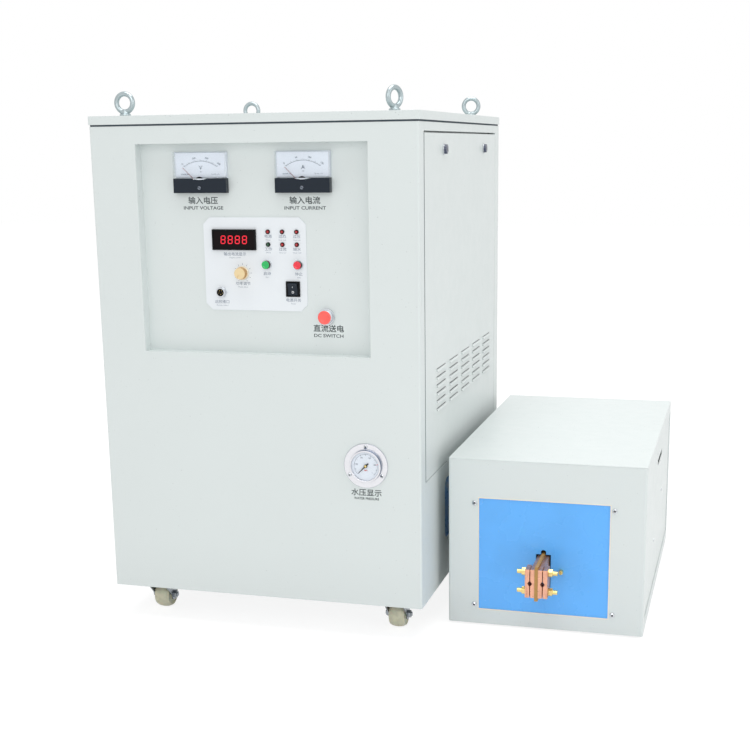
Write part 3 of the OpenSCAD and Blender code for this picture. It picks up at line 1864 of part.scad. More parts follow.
head_hose_tails();
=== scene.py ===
"""Dresses an induction heating machine: a power cabinet on casters and its separate heating head.

Every length is in metres, in the frame of the construction model: +Z is up and the front faces -Y.
"""

import json
from math import cos, pi, radians, sin

import bmesh
import bpy
from bpy.props import FloatProperty, FloatVectorProperty, IntProperty, PointerProperty
from bpy.types import Operator, Panel, PropertyGroup
from mathutils import Matrix, Vector


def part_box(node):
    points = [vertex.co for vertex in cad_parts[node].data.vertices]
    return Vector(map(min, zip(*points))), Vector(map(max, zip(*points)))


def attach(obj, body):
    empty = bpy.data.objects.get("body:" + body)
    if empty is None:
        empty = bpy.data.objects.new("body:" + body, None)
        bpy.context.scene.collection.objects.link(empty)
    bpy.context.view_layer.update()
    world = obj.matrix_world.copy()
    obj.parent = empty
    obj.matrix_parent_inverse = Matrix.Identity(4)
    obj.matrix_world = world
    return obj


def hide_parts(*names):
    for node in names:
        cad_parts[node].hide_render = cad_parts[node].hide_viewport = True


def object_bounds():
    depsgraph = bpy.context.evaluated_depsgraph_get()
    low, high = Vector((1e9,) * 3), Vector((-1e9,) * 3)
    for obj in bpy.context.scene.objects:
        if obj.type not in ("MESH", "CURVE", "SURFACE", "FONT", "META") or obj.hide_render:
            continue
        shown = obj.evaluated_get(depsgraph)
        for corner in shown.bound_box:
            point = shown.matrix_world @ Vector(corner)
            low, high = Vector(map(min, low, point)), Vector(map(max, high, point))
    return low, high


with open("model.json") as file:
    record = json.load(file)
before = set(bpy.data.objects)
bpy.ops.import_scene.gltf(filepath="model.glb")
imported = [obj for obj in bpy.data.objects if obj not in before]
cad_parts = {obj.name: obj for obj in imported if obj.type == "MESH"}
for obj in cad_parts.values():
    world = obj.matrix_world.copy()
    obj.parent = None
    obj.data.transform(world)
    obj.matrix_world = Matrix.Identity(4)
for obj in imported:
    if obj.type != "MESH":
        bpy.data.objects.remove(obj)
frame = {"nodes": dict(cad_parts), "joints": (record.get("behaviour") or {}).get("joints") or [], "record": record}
CAD_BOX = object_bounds()

bl_info = {
    "name": "Induction Heating Machine",
    "version": (1, 0, 0),
    "blender": (4, 5, 0),
    "location": "View3D > Sidebar > Machine",
    "description": "Finishes the cabinet and the heating head round their construction model",
    "category": "Object",
}

MM = 0.001
NODES = frame["nodes"]
BODY_OF = {node: body for body, nodes in frame["record"]["behaviour"]["bodies"].items() for node in nodes}
SLOT_OF = {part["node"]: part["material_slot"] for part in frame["record"]["subparts"]}
PIVOT = {joint["name"]: Vector(joint["pos_m"]) for joint in frame["joints"] if "pos_m" in joint}


def srgb(r, g, b):
    """A linear colour from the 0 to 255 values that a picture shows."""
    def linear(c):
        c /= 255
        return c / 12.92 if c <= 0.04045 else ((c + 0.055) / 1.055) ** 2.4
    return (linear(r), linear(g), linear(b))


def colour_prop(name, text, value):
    return FloatVectorProperty(name=name, description=text, subtype="COLOR", size=3, min=0, max=1,
                               default=srgb(*value))


def length_prop(name, text, millimetres):
    return FloatProperty(name=name, description=text, subtype="DISTANCE", unit="LENGTH", min=0,
                         default=millimetres * MM)


class MachineColours(PropertyGroup):
    """Colours of the machine's finishes"""
    paint: colour_prop("Paint", "Powder coat of the cabinet and the head", (219, 226, 225))
    blue: colour_prop("Terminal board", "Laminate board behind the output terminal", (94, 180, 255))
    copper: colour_prop("Copper", "Freshly machined copper of the output bars", (236, 176, 148))
    tarnish: colour_prop("Tarnish", "Oxide on the copper's upper faces", (172, 132, 116))
    brass: colour_prop("Brass", "Studs, nuts and hose tails", (232, 208, 140))
    laminate: colour_prop("Insulation", "Sheet between the output bars", (182, 138, 72))
    zinc: colour_prop("Zinc", "Plating of brackets and plates", (186, 190, 192))
    chrome: colour_prop("Chrome", "Bright plating of bolts, locks and bezels", (212, 216, 220))
    dial: colour_prop("Dial", "Card of the meters' scales", (238, 244, 252))
    strip: colour_prop("Meter strip", "Moulded strip under a meter's window", (32, 40, 50))
    black: colour_prop("Black plastic", "Switches and housings", (12, 13, 15))
    plate: colour_prop("Control plate", "Enamelled plate that carries the controls", (232, 237, 241))
    knob: colour_prop("Knob", "Moulded power knob", (236, 212, 164))
    start: colour_prop("Start button", "Cap of the start button", (0, 186, 92))
    stop: colour_prop("Stop button", "Cap of the stop button", (238, 36, 58))
    dc: colour_prop("DC button", "Cap of the large button", (255, 102, 94))
    nylon: colour_prop("Wheels", "Cast nylon of the caster wheels", (214, 212, 186))
    ink: colour_prop("Ink", "Printed words under the instruments", (56, 68, 70))
    glow: colour_prop("Digits", "Lit segments of the display", (235, 30, 52))


class MachineSizes(PropertyGroup):
    """Small sizes that only the finish needs"""
    edge: length_prop("Sheet edge", "Rounding of a folded sheet's edges", 0.45)
    fine_edge: length_prop("Fine edge", "Rounding of small moulded and turned parts", 0.25)
    print_t: length_prop("Print", "Thickness of a printed mark", 0.05)
    word_h: length_prop("Words", "Height of the capitals under the instruments", 5.6)
    sign_h: length_prop("Characters", "Height of the characters over those words", 12.0)
    small_word_h: length_prop("Small words", "Height of the capitals on the control plate", 2.2)
    small_sign_h: length_prop("Small characters", "Height of the characters on the control plate", 5.8)
    arc_r: length_prop("Meter arc", "Radius of a meter's scale", 54.0)
    gauge_arc_r: length_prop("Gauge arc", "Radius of the pressure gauge's scale", 21.5)
    digit_h: length_prop("Digit", "Height of a display digit", 14.6)
    divisions: IntProperty(name="Divisions", description="Small divisions of a meter's scale",
                           default=30, min=5, max=60)


class StudioSettings(PropertyGroup):
    """Light and camera of the stage"""
    sky: FloatProperty(name="Sky", description="Strength of the even light from all round",
                       default=0.62, min=0)
    top: FloatProperty(name="Top lamp", description="Power of the wide lamp overhead", unit="POWER",
                       default=157, min=0)
    key: FloatProperty(name="Key lamp", description="Power of the lamp in front", unit="POWER",
                       default=22, min=0)
    fill: FloatProperty(name="Fill lamp", description="Power of the lamp at the right", unit="POWER",
                        default=14, min=0)
    focal_px: FloatProperty(name="Focal length", description="Focal length in pixels of the photograph",
                            default=1306.6, min=1)
    centre_px: FloatVectorProperty(name="Principal point", description="Pixel that the camera points at",
                                   size=2, default=(383.8, 446.5))
    place: FloatVectorProperty(name="Camera place", description="Where the camera stands", subtype="XYZ",
                               unit="LENGTH", size=3, default=(0.8385, -2.4932, 0.8709))
    azimuth: FloatProperty(name="Azimuth", description="Turn of the camera to the machine's right",
                           subtype="ANGLE", default=radians(15.779))
    pitch: FloatProperty(name="Pitch", description="How far the camera looks down", subtype="ANGLE",
                         default=radians(12.906))
    roll: FloatProperty(name="Roll", description="Tilt of the camera about its own axis", subtype="ANGLE",
                        default=radians(-0.731))


def colours():
    return bpy.context.scene.machine_colours


def sizes():
    return bpy.context.scene.machine_sizes


# Materials

EVEN = (1, 1, 1)
MIX_A, MIX_B, MIX_RESULT = 6, 7, 2  # the colour sockets of a Mix node


def shade(colour, factor):
    return tuple(min(1.0, channel * factor) for channel in tuple(colour)[:3])


class Finish:
    """A Principled material with helpers for the detail that it takes from Object coordinates."""

    def __init__(self, name, colour, roughness, **sockets):
        self.material = bpy.data.materials.new(name)
        self.material.use_nodes = True
        self.tree = self.material.node_tree
        self.shader = self.tree.nodes["Principled BSDF"]
        self.colour = tuple(colour)[:3]
        self.material.diffuse_color = (*self.colour, 1)
        for socket, value in {"Base_Color": (*self.colour, 1), "Roughness": roughness, **sockets}.items():
            self.shader.inputs[socket.replace("_", " ")].default_value = value

    def node(self, kind, **values):
        """A new node; each value goes to the input of that name, or else to the node's own setting."""
        made = self.tree.nodes.new(kind)
        for key, value in values.items():
            if key in made.inputs:
                made.inputs[key].default_value = value
            else:
                setattr(made, key, value)
        return made

    def link(self, a, b):
        self.tree.links.new(a, b)

    def place(self, stretch=EVEN):
        """Object coordinates through a Mapping node."""
        coordinates = self.node("ShaderNodeTexCoord")
        mapping = self.node("ShaderNodeMapping", Scale=stretch)
        self.link(coordinates.outputs["Object"], mapping.inputs["Vector"])
        return mapping.outputs["Vector"]

    def height_in(self, vector):
        """The Z of a vector."""
        split = self.node("ShaderNodeSeparateXYZ")
        self.link(vector, split.inputs[0])
        return split.outputs["Z"]

    def noise(self, scale, detail, stretch=EVEN):
        noise = self.node("ShaderNodeTexNoise", Scale=scale, Detail=detail)
        self.link(self.place(stretch), noise.inputs["Vector"])
        return noise.outputs["Fac"]

    def range(self, source, low, high, to_low=0.0, to_high=1.0):
        step = self.node("ShaderNodeMapRange", **{"From Min": low, "From Max": high,
                                                  "To Min": to_low, "To Max": to_high})
        self.link(source, step.inputs["Value"])
        return step.outputs["Result"]

    def stain(self, factor, colour):
        """Mixes another colour over what the surface has so far."""
        mix = self.node("ShaderNodeMix", data_type="RGBA")
        base = self.shader.inputs["Base Color"]
        if base.is_linked:
            self.link(base.links[0].from_socket, mix.inputs[MIX_A])
        else:
            mix.inputs[MIX_A].default_value = (*self.colour, 1)
        mix.inputs[MIX_B].default_value = (*colour, 1)
        self.link(factor, mix.inputs[0])
        self.link(mix.outputs[MIX_RESULT], base)

    def blotch(self, scale, detail, low, high, share, tint, stretch=EVEN):
        """Stains where a noise is high; the tint is a colour, or a factor of the finish's own colour."""
        colour = shade(self.colour, tint) if isinstance(tint, float) else tint
        self.stain(self.range(self.noise(scale, detail, stretch), low, high, 0.0, share), colour)

    def gloss(self, scale, detail, low, high):
        """Lets the roughness wander between two values."""
        wander = self.range(self.noise(scale, detail), 0.3, 0.7, low, high)
        self.link(wander, self.shader.inputs["Roughness"])

    def grain(self, scale, detail, strength, depth_mm, stretch=EVEN):
        """Adds fine relief from a noise."""
        bump = self.node("ShaderNodeBump", Strength=strength, Distance=depth_mm * MM)
        self.link(self.noise(scale, detail, stretch), bump.inputs["Height"])
        before = self.shader.inputs["Normal"]
        if before.is_linked:
            self.link(before.links[0].from_socket, bump.inputs["Normal"])
        self.link(bump.outputs["Normal"], before)


def powder_coat():
    """Semi-gloss powder coat with orange peel, a little unevenness and specks, darker towards the bottom."""
    f = Finish("powder_coat", colours().paint, 0.36, Specular_IOR_Level=0.45)
    f.blotch(3, 2, 0.35, 0.65, 0.35, 0.965)
    f.blotch(420, 0, 0.83, 0.86, 1.0, 0.66)
    # Darker towards the bottom: below 0.16 m up, up to 18 per cent of a darker paint is mixed in.
    darker_low_down = f.range(f.height_in(f.place()), 0.16, 0.03, 0.0, 0.18)
    f.stain(darker_low_down, shade(f.colour, 0.78))
    f.gloss(45, 3, 0.30, 0.42)
    f.grain(650, 2, 0.10, 0.3)
    return f.material


def plated(name, colour, roughness, grain=240):
    """Zinc or chrome plate: bright metal with a faint grain and dull patches."""
    f = Finish(name, colour, roughness, Metallic=1.0)
    f.blotch(grain, 4, 0.35, 0.7, 0.5, 0.72)
    f.gloss(grain / 4, 3, roughness * 0.75, roughness * 1.6)
    f.grain(grain * 5, 2, 0.08, 0.1)
    return f.material


def moulded(name, colour, roughness, grain=900, strength=0.06, **sockets):
    """Moulded plastic: even colour with a fine skin and slight wear in its gloss."""
    f = Finish(name, colour, roughness, **sockets)
    f.blotch(60, 2, 0.4, 0.7, 0.3, 0.88)
    f.gloss(130, 3, roughness * 0.8, min(1.0, roughness * 1.35))
    f.grain(grain, 2, strength, 0.2)
    return f.material


def clear_window(name, tint, alpha):
    """Clear moulded cover or glass that light passes to reach the dial behind it."""
    f = Finish(name, tint, 0.04, Transmission_Weight=1.0, IOR=1.45, Alpha=alpha)
    f.gloss(90, 3, 0.03, 0.08)
    return f.material


def dial_card():
    """Printed dial card with a faint paper tooth."""
    f = Finish("dial_card", colours().dial, 0.55)
    f.blotch(25, 2, 0.4, 0.7, 0.4, 0.955)
    f.grain(1500, 2, 0.05, 0.1)
    return f.material


def enamel_plate():
    """White enamelled plate with a soft sheen."""
    f = Finish("enamel_plate", colours().plate, 0.3, Coat_Weight=0.2, Coat_Roughness=0.15)
    f.blotch(18, 2, 0.4, 0.7, 0.4, 0.96)
    f.grain(800, 2, 0.05, 0.2)
    return f.material


def blue_laminate():
    """Blue insulating board: glossy face with faint wiped smudges and a woven under-texture."""
    f = Finish("blue_laminate", colours().blue, 0.24, Coat_Weight=0.25, Coat_Roughness=0.12)
    f.blotch(14, 3, 0.45, 0.75, 0.45, 0.86)
    f.blotch(38, 4, 0.66, 0.74, 0.35, 1.12)
    f.blotch(700, 1, 0.78, 0.80, 0.5, srgb(200, 186, 90))
    f.gloss(20, 3, 0.18, 0.34)
    f.grain(500, 2, 0.05, 0.2)
    return f.material


def worked_copper():
    """Copper bar: saw and mill marks on its sides, oxide on the faces that look up."""
    f = Finish("worked_copper", colours().copper, 0.34, Metallic=0.62)
    patches = f.range(f.noise(160, 5), 0.36, 0.66)
    f.blotch(520, 3, 0.5, 0.72, 0.6, srgb(176, 112, 82), stretch=(1, 1, 0.07))
    f.stain(f.range(patches, 0.35, 1.0, 0.0, 0.35), shade(f.colour, 0.62))
    normal = f.node("ShaderNodeNewGeometry").outputs["Normal"]
    both = f.node("ShaderNodeMath", operation="MULTIPLY")
    f.link(f.range(f.height_in(normal), 0.25, 0.9), both.inputs[0])
    f.link(f.range(patches, 0.0, 1.0, 0.55, 1.0), both.inputs[1])
    f.stain(both.outputs[0], colours().tarnish)
    f.gloss(220, 4, 0.24, 0.5)
    f.grain(500, 3, 0.16, 0.2, stretch=(1, 1, 9))
    f.grain(900, 3, 0.10, 0.1)
    return f.material


def turned_brass():
    """Turned brass with fine tool marks and a little brown in its hollows."""
    f = Finish("turned_brass", colours().brass, 0.24, Metallic=1.0)
    f.blotch(180, 4, 0.4, 0.72, 0.55, 0.66)
    f.gloss(140, 3, 0.16, 0.38)
    f.grain(700, 2, 0.08, 0.1, stretch=(6, 1, 1))
    return f.material


def cloth_laminate():
    """Cloth laminate, cut on edge: fine fibres across an ochre body."""
    f = Finish("cloth_laminate", colours().laminate, 0.52)
    f.blotch(700, 3, 0.35, 0.65, 0.7, 0.68, stretch=(6, 1, 1))
    f.blotch(90, 3, 0.5, 0.75, 0.5, 1.25)
    f.grain(900, 3, 0.2, 0.2, stretch=(5, 1, 1))
    return f.material


def cast_nylon():
    """Cast nylon wheel: milky, with dirt that the floor leaves on it."""
    f = Finish("cast_nylon", colours().nylon, 0.42, Subsurface_Weight=0.12, Subsurface_Scale=0.003)
    f.blotch(110, 5, 0.42, 0.72, 0.6, 0.74)
    f.blotch(420, 3, 0.66, 0.76, 0.5, 0.4)
    f.grain(420, 3, 0.12, 0.3)
    return f.material


def milled_alloy():
    """Milled aluminium with straight cutter marks."""
    f = Finish("milled_alloy", srgb(200, 203, 206), 0.36, Metallic=1.0)
    f.blotch(60, 3, 0.4, 0.7, 0.4, 0.8)
    f.grain(400, 2, 0.18, 0.2, stretch=(1, 1, 14))
    return f.material


def glowing():
    """Lit segments of the digits."""
    glow = colours().glow
    f = Finish("lit_segments", glow, 0.5, Emission_Color=(*glow, 1), Emission_Strength=0.48)
    f.blotch(300, 2, 0.3, 0.7, 0.4, 0.8)
    return f.material


def lens(name, colour):
    """Tinted lamp lens that lets a little light through."""
    f = Finish(name, colour, 0.12, Transmission_Weight=0.25, IOR=1.49, Coat_Weight=0.5)
    f.blotch(300, 2, 0.4, 0.7, 0.4, 0.6)
    f.gloss(200, 3, 0.08, 0.2)
    return f.material


def ink(name, colour):
    """Screen-printed ink, slightly uneven."""
    f = Finish(name, colour, 0.55)
    f.blotch(500, 2, 0.4, 0.7, 0.35, 1.25)
    return f.material


MAKERS = {
    "powder_coat": powder_coat,
    "zinc": lambda: plated("zinc_plate", colours().zinc, 0.34),
    "chrome": lambda: plated("bright_plate", colours().chrome, 0.16, grain=120),
    "lock_cap": lambda: moulded("lock_cap", srgb(44, 56, 84), 0.25, Specular_IOR_Level=0.8),
    "steel": lambda: moulded("stainless_bezel", srgb(226, 226, 230), 0.2, grain=1200, Metallic=0.85),
    "forged": lambda: plated("forged_plate", srgb(178, 190, 193), 0.26, grain=70),
    "fork": lambda: plated("fork_plate", srgb(146, 152, 157), 0.22, grain=110),
    # Dark plate for the screws' cross recesses: painted shade.
    "recess": lambda: plated("screw_recess_painted_shade", srgb(66, 66, 72), 0.4),
    # Dark blue-grey for the gauge bezel's outward walls: painted shade.
    "bezel_wall_painted_shade": lambda: plated("bezel_wall_painted_shade", srgb(122, 134, 154), 0.3),
    "zero_screw": lambda: moulded("zero_screw_plastic", srgb(112, 120, 132), 0.3),
    "cut_edge": lambda: moulded("cut_sheet_edge", srgb(238, 229, 212), 0.5),
    "black": lambda: moulded("black_plastic", colours().black, 0.34, Specular_IOR_Level=0.14),
    "black_gloss": lambda: moulded("meter_strip_plastic", colours().strip, 0.2, Specular_IOR_Level=0.2),
    "rim": lambda: moulded("clear_rim_plastic", srgb(222, 229, 236), 0.2),
    "filter": lambda: moulded("display_filter", srgb(16, 8, 10), 0.15, Specular_IOR_Level=0.12),
    "needle": lambda: moulded("needle_lacquer", srgb(156, 112, 116), 0.5),
    # Dark brown for the start and stop caps' sides: painted shade.
    "cap_side_painted_shade": lambda: moulded("cap_painted_shade_plastic", srgb(58, 44, 40), 0.4, Specular_IOR_Level=0.2),
    # Darker tan for the knob's sides: painted shade.
    "knob_side_painted_shade": lambda: moulded("knob_painted_shade_plastic", srgb(204, 162, 104), 0.5),
    # Paler cream for the knob's skirt: painted highlight.
    "knob_skirt_painted_highlight": lambda: moulded("knob_painted_highlight_plastic", srgb(244, 236, 214), 0.4),
    "dial_card": dial_card,
    "window": lambda: clear_window("meter_window", srgb(236, 243, 250), 0.22),
    "glass": lambda: clear_window("gauge_glass", srgb(240, 246, 250), 0.16),
    "enamel": enamel_plate,
    "blue": blue_laminate,
    # The side board is the terminal board's blue darkened as painted shade.
    "blue_painted_shade": lambda: moulded("side_board_painted_shade", shade(colours().blue, 0.62), 0.3),
    "copper": worked_copper,
    "brass": turned_brass,
    "laminate": cloth_laminate,
    "nylon": cast_nylon,
    "alloy": milled_alloy,
    "knob": lambda: moulded("knob_plastic", colours().knob, 0.36, Coat_Weight=0.15),
    "start": lambda: moulded("start_cap_plastic", colours().start, 0.2, Coat_Weight=0.4),
    "stop": lambda: moulded("stop_cap_plastic", colours().stop, 0.2, Coat_Weight=0.4),
    "dc": lambda: moulded("dc_cap_plastic", colours().dc, 0.32),
    "red_lens": lambda: lens("red_lens", srgb(196, 18, 30)),
    "green_lens": lambda: lens("green_lens", srgb(10, 92, 52)),
    "glow": glowing,
    "ink": lambda: ink("printed_ink", colours().ink),
    "dial_ink": lambda: ink("dial_ink", srgb(84, 104, 124)),
    "grey_ink": lambda: ink("plate_ink", srgb(138, 148, 162)),
    "gauge_ink": lambda: ink("gauge_ink", srgb(66, 82, 106)),
    "tick_ink": lambda: ink("tick_ink", srgb(96, 106, 132)),
    "red_ink": lambda: ink("red_ink", srgb(214, 60, 60)),
    "white_ink": lambda: ink("white_ink", srgb(236, 238, 240)),
    "ferrite": lambda: moulded("sintered_ferrite", srgb(52, 52, 56), 0.6, grain=500, strength=0.25),
    # Dark grey strips in the gaps under the lid and beside the side panels: painted shadow.
    "gap_shadow": lambda: moulded("painted_gap_shadow", srgb(82, 91, 99), 0.7, Specular_IOR_Level=0.15),
    # Grey line along each louvre's top: painted shade.
    "louvre_shade": lambda: moulded("louvre_painted_shade", srgb(194, 201, 203), 0.6),
    "rubber": lambda: moulded("black_rubber", srgb(26, 26, 27), 0.75, grain=700, strength=0.2),
    "board": lambda: moulded("circuit_board", srgb(22, 96, 56), 0.4, grain=350, strength=0.15),
    "resin": lambda: moulded("module_resin", srgb(40, 42, 46), 0.45, grain=500, strength=0.12),
}


MADE = {}


def finish(name):
    """The finish of that name, made the first time that it is asked for."""
    if name not in MADE:
        MADE[name] = MAKERS[name]()
    return MADE[name]


# Mesh tools

WELD = 0.001 * MM
SMOOTH_BELOW = radians(34)
HERE = Matrix.Identity(4)
FRONT = Matrix.Rotation(pi / 2, 4, "X")  # turns Z to the machine's front


def piece(bm, name, material, node, replaced=(), body=None):
    """Turns a bmesh into a piece riding on its construction node's body or another."""
    bmesh.ops.remove_doubles(bm, verts=bm.verts, dist=WELD)
    bmesh.ops.recalc_face_normals(bm, faces=bm.faces)
    for face in bm.faces:
        face.smooth = True
    for edge in bm.edges:
        edge.smooth = len(edge.link_faces) == 2 and edge.calc_face_angle(0) < SMOOTH_BELOW
    mesh = bpy.data.meshes.new(name)
    bm.to_mesh(mesh)
    bm.free()
    mesh.materials.append(finish(material))
    obj = bpy.data.objects.new(name, mesh)
    bpy.context.scene.collection.objects.link(obj)
    even = obj.modifiers.new("even_normals", "WEIGHTED_NORMAL")
    even.keep_sharp = True
    body, slot = body or BODY_OF[node], SLOT_OF[node]
    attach(obj, body)
    if replaced:
        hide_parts(*replaced)
    return obj


def node_bmesh(node):
    """A merged copy of a construction node's mesh, its flat faces whole again."""
    bm = bmesh.new()
    bm.from_mesh(NODES[node].data)
    bmesh.ops.remove_doubles(bm, verts=bm.verts, dist=WELD)
    bmesh.ops.dissolve_limit(bm, angle_limit=radians(0.4), verts=bm.verts, edges=bm.edges,
                             use_dissolve_boundaries=False)
    return bm


def round_edges(bm, width, steepest=40.0, segments=2):
    """Rounds every edge that turns more than an angle."""
    edges = [e for e in bm.edges if len(e.link_faces) == 2 and e.calc_face_angle(0) > radians(steepest)]
    bmesh.ops.bevel(bm, geom=edges, offset=width, offset_type="OFFSET", affect="EDGES", segments=segments,
                    profile=0.5, material=-1, clamp_overlap=False, loop_slide=True)


def finished(node, material, width=None, steepest=40.0, segments=2):
    """The construction node with its edges rounded and its finish on."""
    bm = node_bmesh(node)
    round_edges(bm, sizes().edge if width is None else width, steepest, segments)
    return piece(bm, node + "_finished", material, node, replaced=[node])


def islands(bm):
    """The boxes of a mesh's separate parts, as (lowest, highest) corners, sorted by x, then y, then z."""
    left, boxes = set(bm.verts), []
    while left:
        group, stack = [], [left.pop()]
        while stack:
            vert = stack.pop()
            group.append(vert.co)
            for edge in vert.link_edges:
                other = edge.other_vert(vert)
                if other in left:
                    left.remove(other)
                    stack.append(other)
        boxes.append(tuple(Vector([pick(co[i] for co in group) for i in range(3)]) for pick in (min, max)))
    bm.free()
    return sorted(boxes, key=lambda b: [round(c, 4) for c in (*b[0], *b[1])])


def solids(node):
    """The boxes of a construction node's separate solids."""
    return islands(node_bmesh(node))


def middle(box):
    return (box[0] + box[1]) / 2


def facing(point, roll=0.0):
    """A place at a point where Z is turned to the machine's front, -Y."""
    return Matrix.Translation(point) @ Matrix.Rotation(roll, 4, "Y") @ FRONT


def shifted(place, x=0.0, y=0.0, z=0.0):
    """A place moved along its own axes."""
    return place @ Matrix.Translation((x, y, z))


def turned(place, angle):
    """A place turned about its own Z."""
    return place @ Matrix.Rotation(angle, 4, "Z")


def lathe(bm, profile, place, steps):
    """Spins a profile of (radius, height) points round Z, then moves it to its place."""
    verts = [bm.verts.new((r, 0, h)) for r, h in profile]
    edges = [bm.edges.new(pair) for pair in zip(verts, verts[1:])]
    before = set(bm.verts) - set(verts)
    bmesh.ops.spin(bm, geom=verts + edges, cent=(0, 0, 0), axis=(0, 0, 1), angle=2 * pi, steps=steps,
                   use_merge=True)
    bmesh.ops.remove_doubles(bm, verts=[v for v in bm.verts if v not in before], dist=WELD)
    bmesh.ops.transform(bm, matrix=place, verts=[v for v in bm.verts if v not in before])


def bar(bm, place, corner, opposite):
    """A box between two corners, in a place's own axes."""
    a, b = Vector(corner), Vector(opposite)
    size = [abs(length) for length in b - a]
    matrix = place @ Matrix.Translation((a + b) / 2) @ Matrix.Diagonal((*size, 1))
    bmesh.ops.create_cube(bm, size=1.0, matrix=matrix)


def thicken(bm, faces, lift):
    """Extrudes faces along a vector."""
    up = bmesh.ops.extrude_face_region(bm, geom=faces)
    bmesh.ops.translate(bm, vec=lift, verts=[g for g in up["geom"] if isinstance(g, bmesh.types.BMVert)])


def slab(bm, place, outline, thickness):
    """A flat shape with an outline of (x, y) points in a place, as thick as given along its Z."""
    face = bm.faces.new([bm.verts.new(place @ Vector((x, y, 0))) for x, y in outline])
    thicken(bm, [face], place.to_3x3() @ Vector((0, 0, thickness)))


def arc(bm, place, radius, width, reach, steps):
    """A flat printed arc; reach is its first and last angle, clockwise from upright."""
    start, end = reach
    height = sizes().print_t
    corners = [(radius - width / 2, 0), (radius + width / 2, 0),
               (radius + width / 2, height), (radius - width / 2, height)]
    verts = [bm.verts.new((0, r, h)) for r, h in corners]
    face = bm.faces.new(verts)
    before = set(bm.verts) - set(verts)
    bmesh.ops.transform(bm, matrix=turned(HERE, -start), verts=verts)
    bmesh.ops.spin(bm, geom=[face], cent=(0, 0, 0), axis=(0, 0, -1), angle=end - start, steps=steps)
    bmesh.ops.transform(bm, matrix=place, verts=[v for v in bm.verts if v not in before])


def spread(reach, count):
    """Evenly spread angles from -reach to reach."""
    return [reach * (2 * i / (count - 1) - 1) for i in range(count)]


def ticks(bm, place, angles, inner, outer, width, height=None):
    """Printed radial marks at the given angles, clockwise from upright."""
    for angle in angles:
        bar(bm, turned(place, -angle), (-width / 2, inner, 0), (width / 2, outer, height or sizes().print_t))


def repaint(obj, material, chosen):
    """Puts another finish on the faces that a test picks out."""
    obj.data.materials.append(finish(material))
    index = len(obj.data.materials) - 1
    for face in obj.data.polygons:
        if chosen(face):
            face.material_index = index


CAPITAL = 0.7  # height of a capital in the built-in font, as a share of its size
SIGN_SHARE = 0.78  # height written for a character, as a share of the size given for it


def write(bm, text, place, height, weight=0.0, stretch=1.0):
    """Adds printed characters to a mesh; height is that of a capital letter, weight thickens the strokes."""
    curve = bpy.data.curves.new("words", "FONT")
    curve.body = text
    curve.align_x = curve.align_y = "CENTER"
    curve.size = height / CAPITAL
    curve.resolution_u = 3
    curve.offset = weight
    curve.extrude = sizes().print_t / 2
    holder = bpy.data.objects.new("words", curve)
    bpy.context.scene.collection.objects.link(holder)
    bpy.context.view_layer.update()
    mesh = bpy.data.meshes.new_from_object(holder.evaluated_get(bpy.context.evaluated_depsgraph_get()))
    mesh.transform(shifted(place, z=sizes().print_t / 2) @ Matrix.Diagonal((stretch, 1, 1, 1)))
    bm.from_mesh(mesh)
    bpy.data.meshes.remove(mesh)
    bpy.data.objects.remove(holder)
    bpy.data.curves.remove(curve)


def drawn(name, material, node, draw):
    """A piece of marks or small trim that a function draws into an empty mesh."""
    bm = bmesh.new()
    draw(bm)
    return piece(bm, name, material, node)


# Pieces

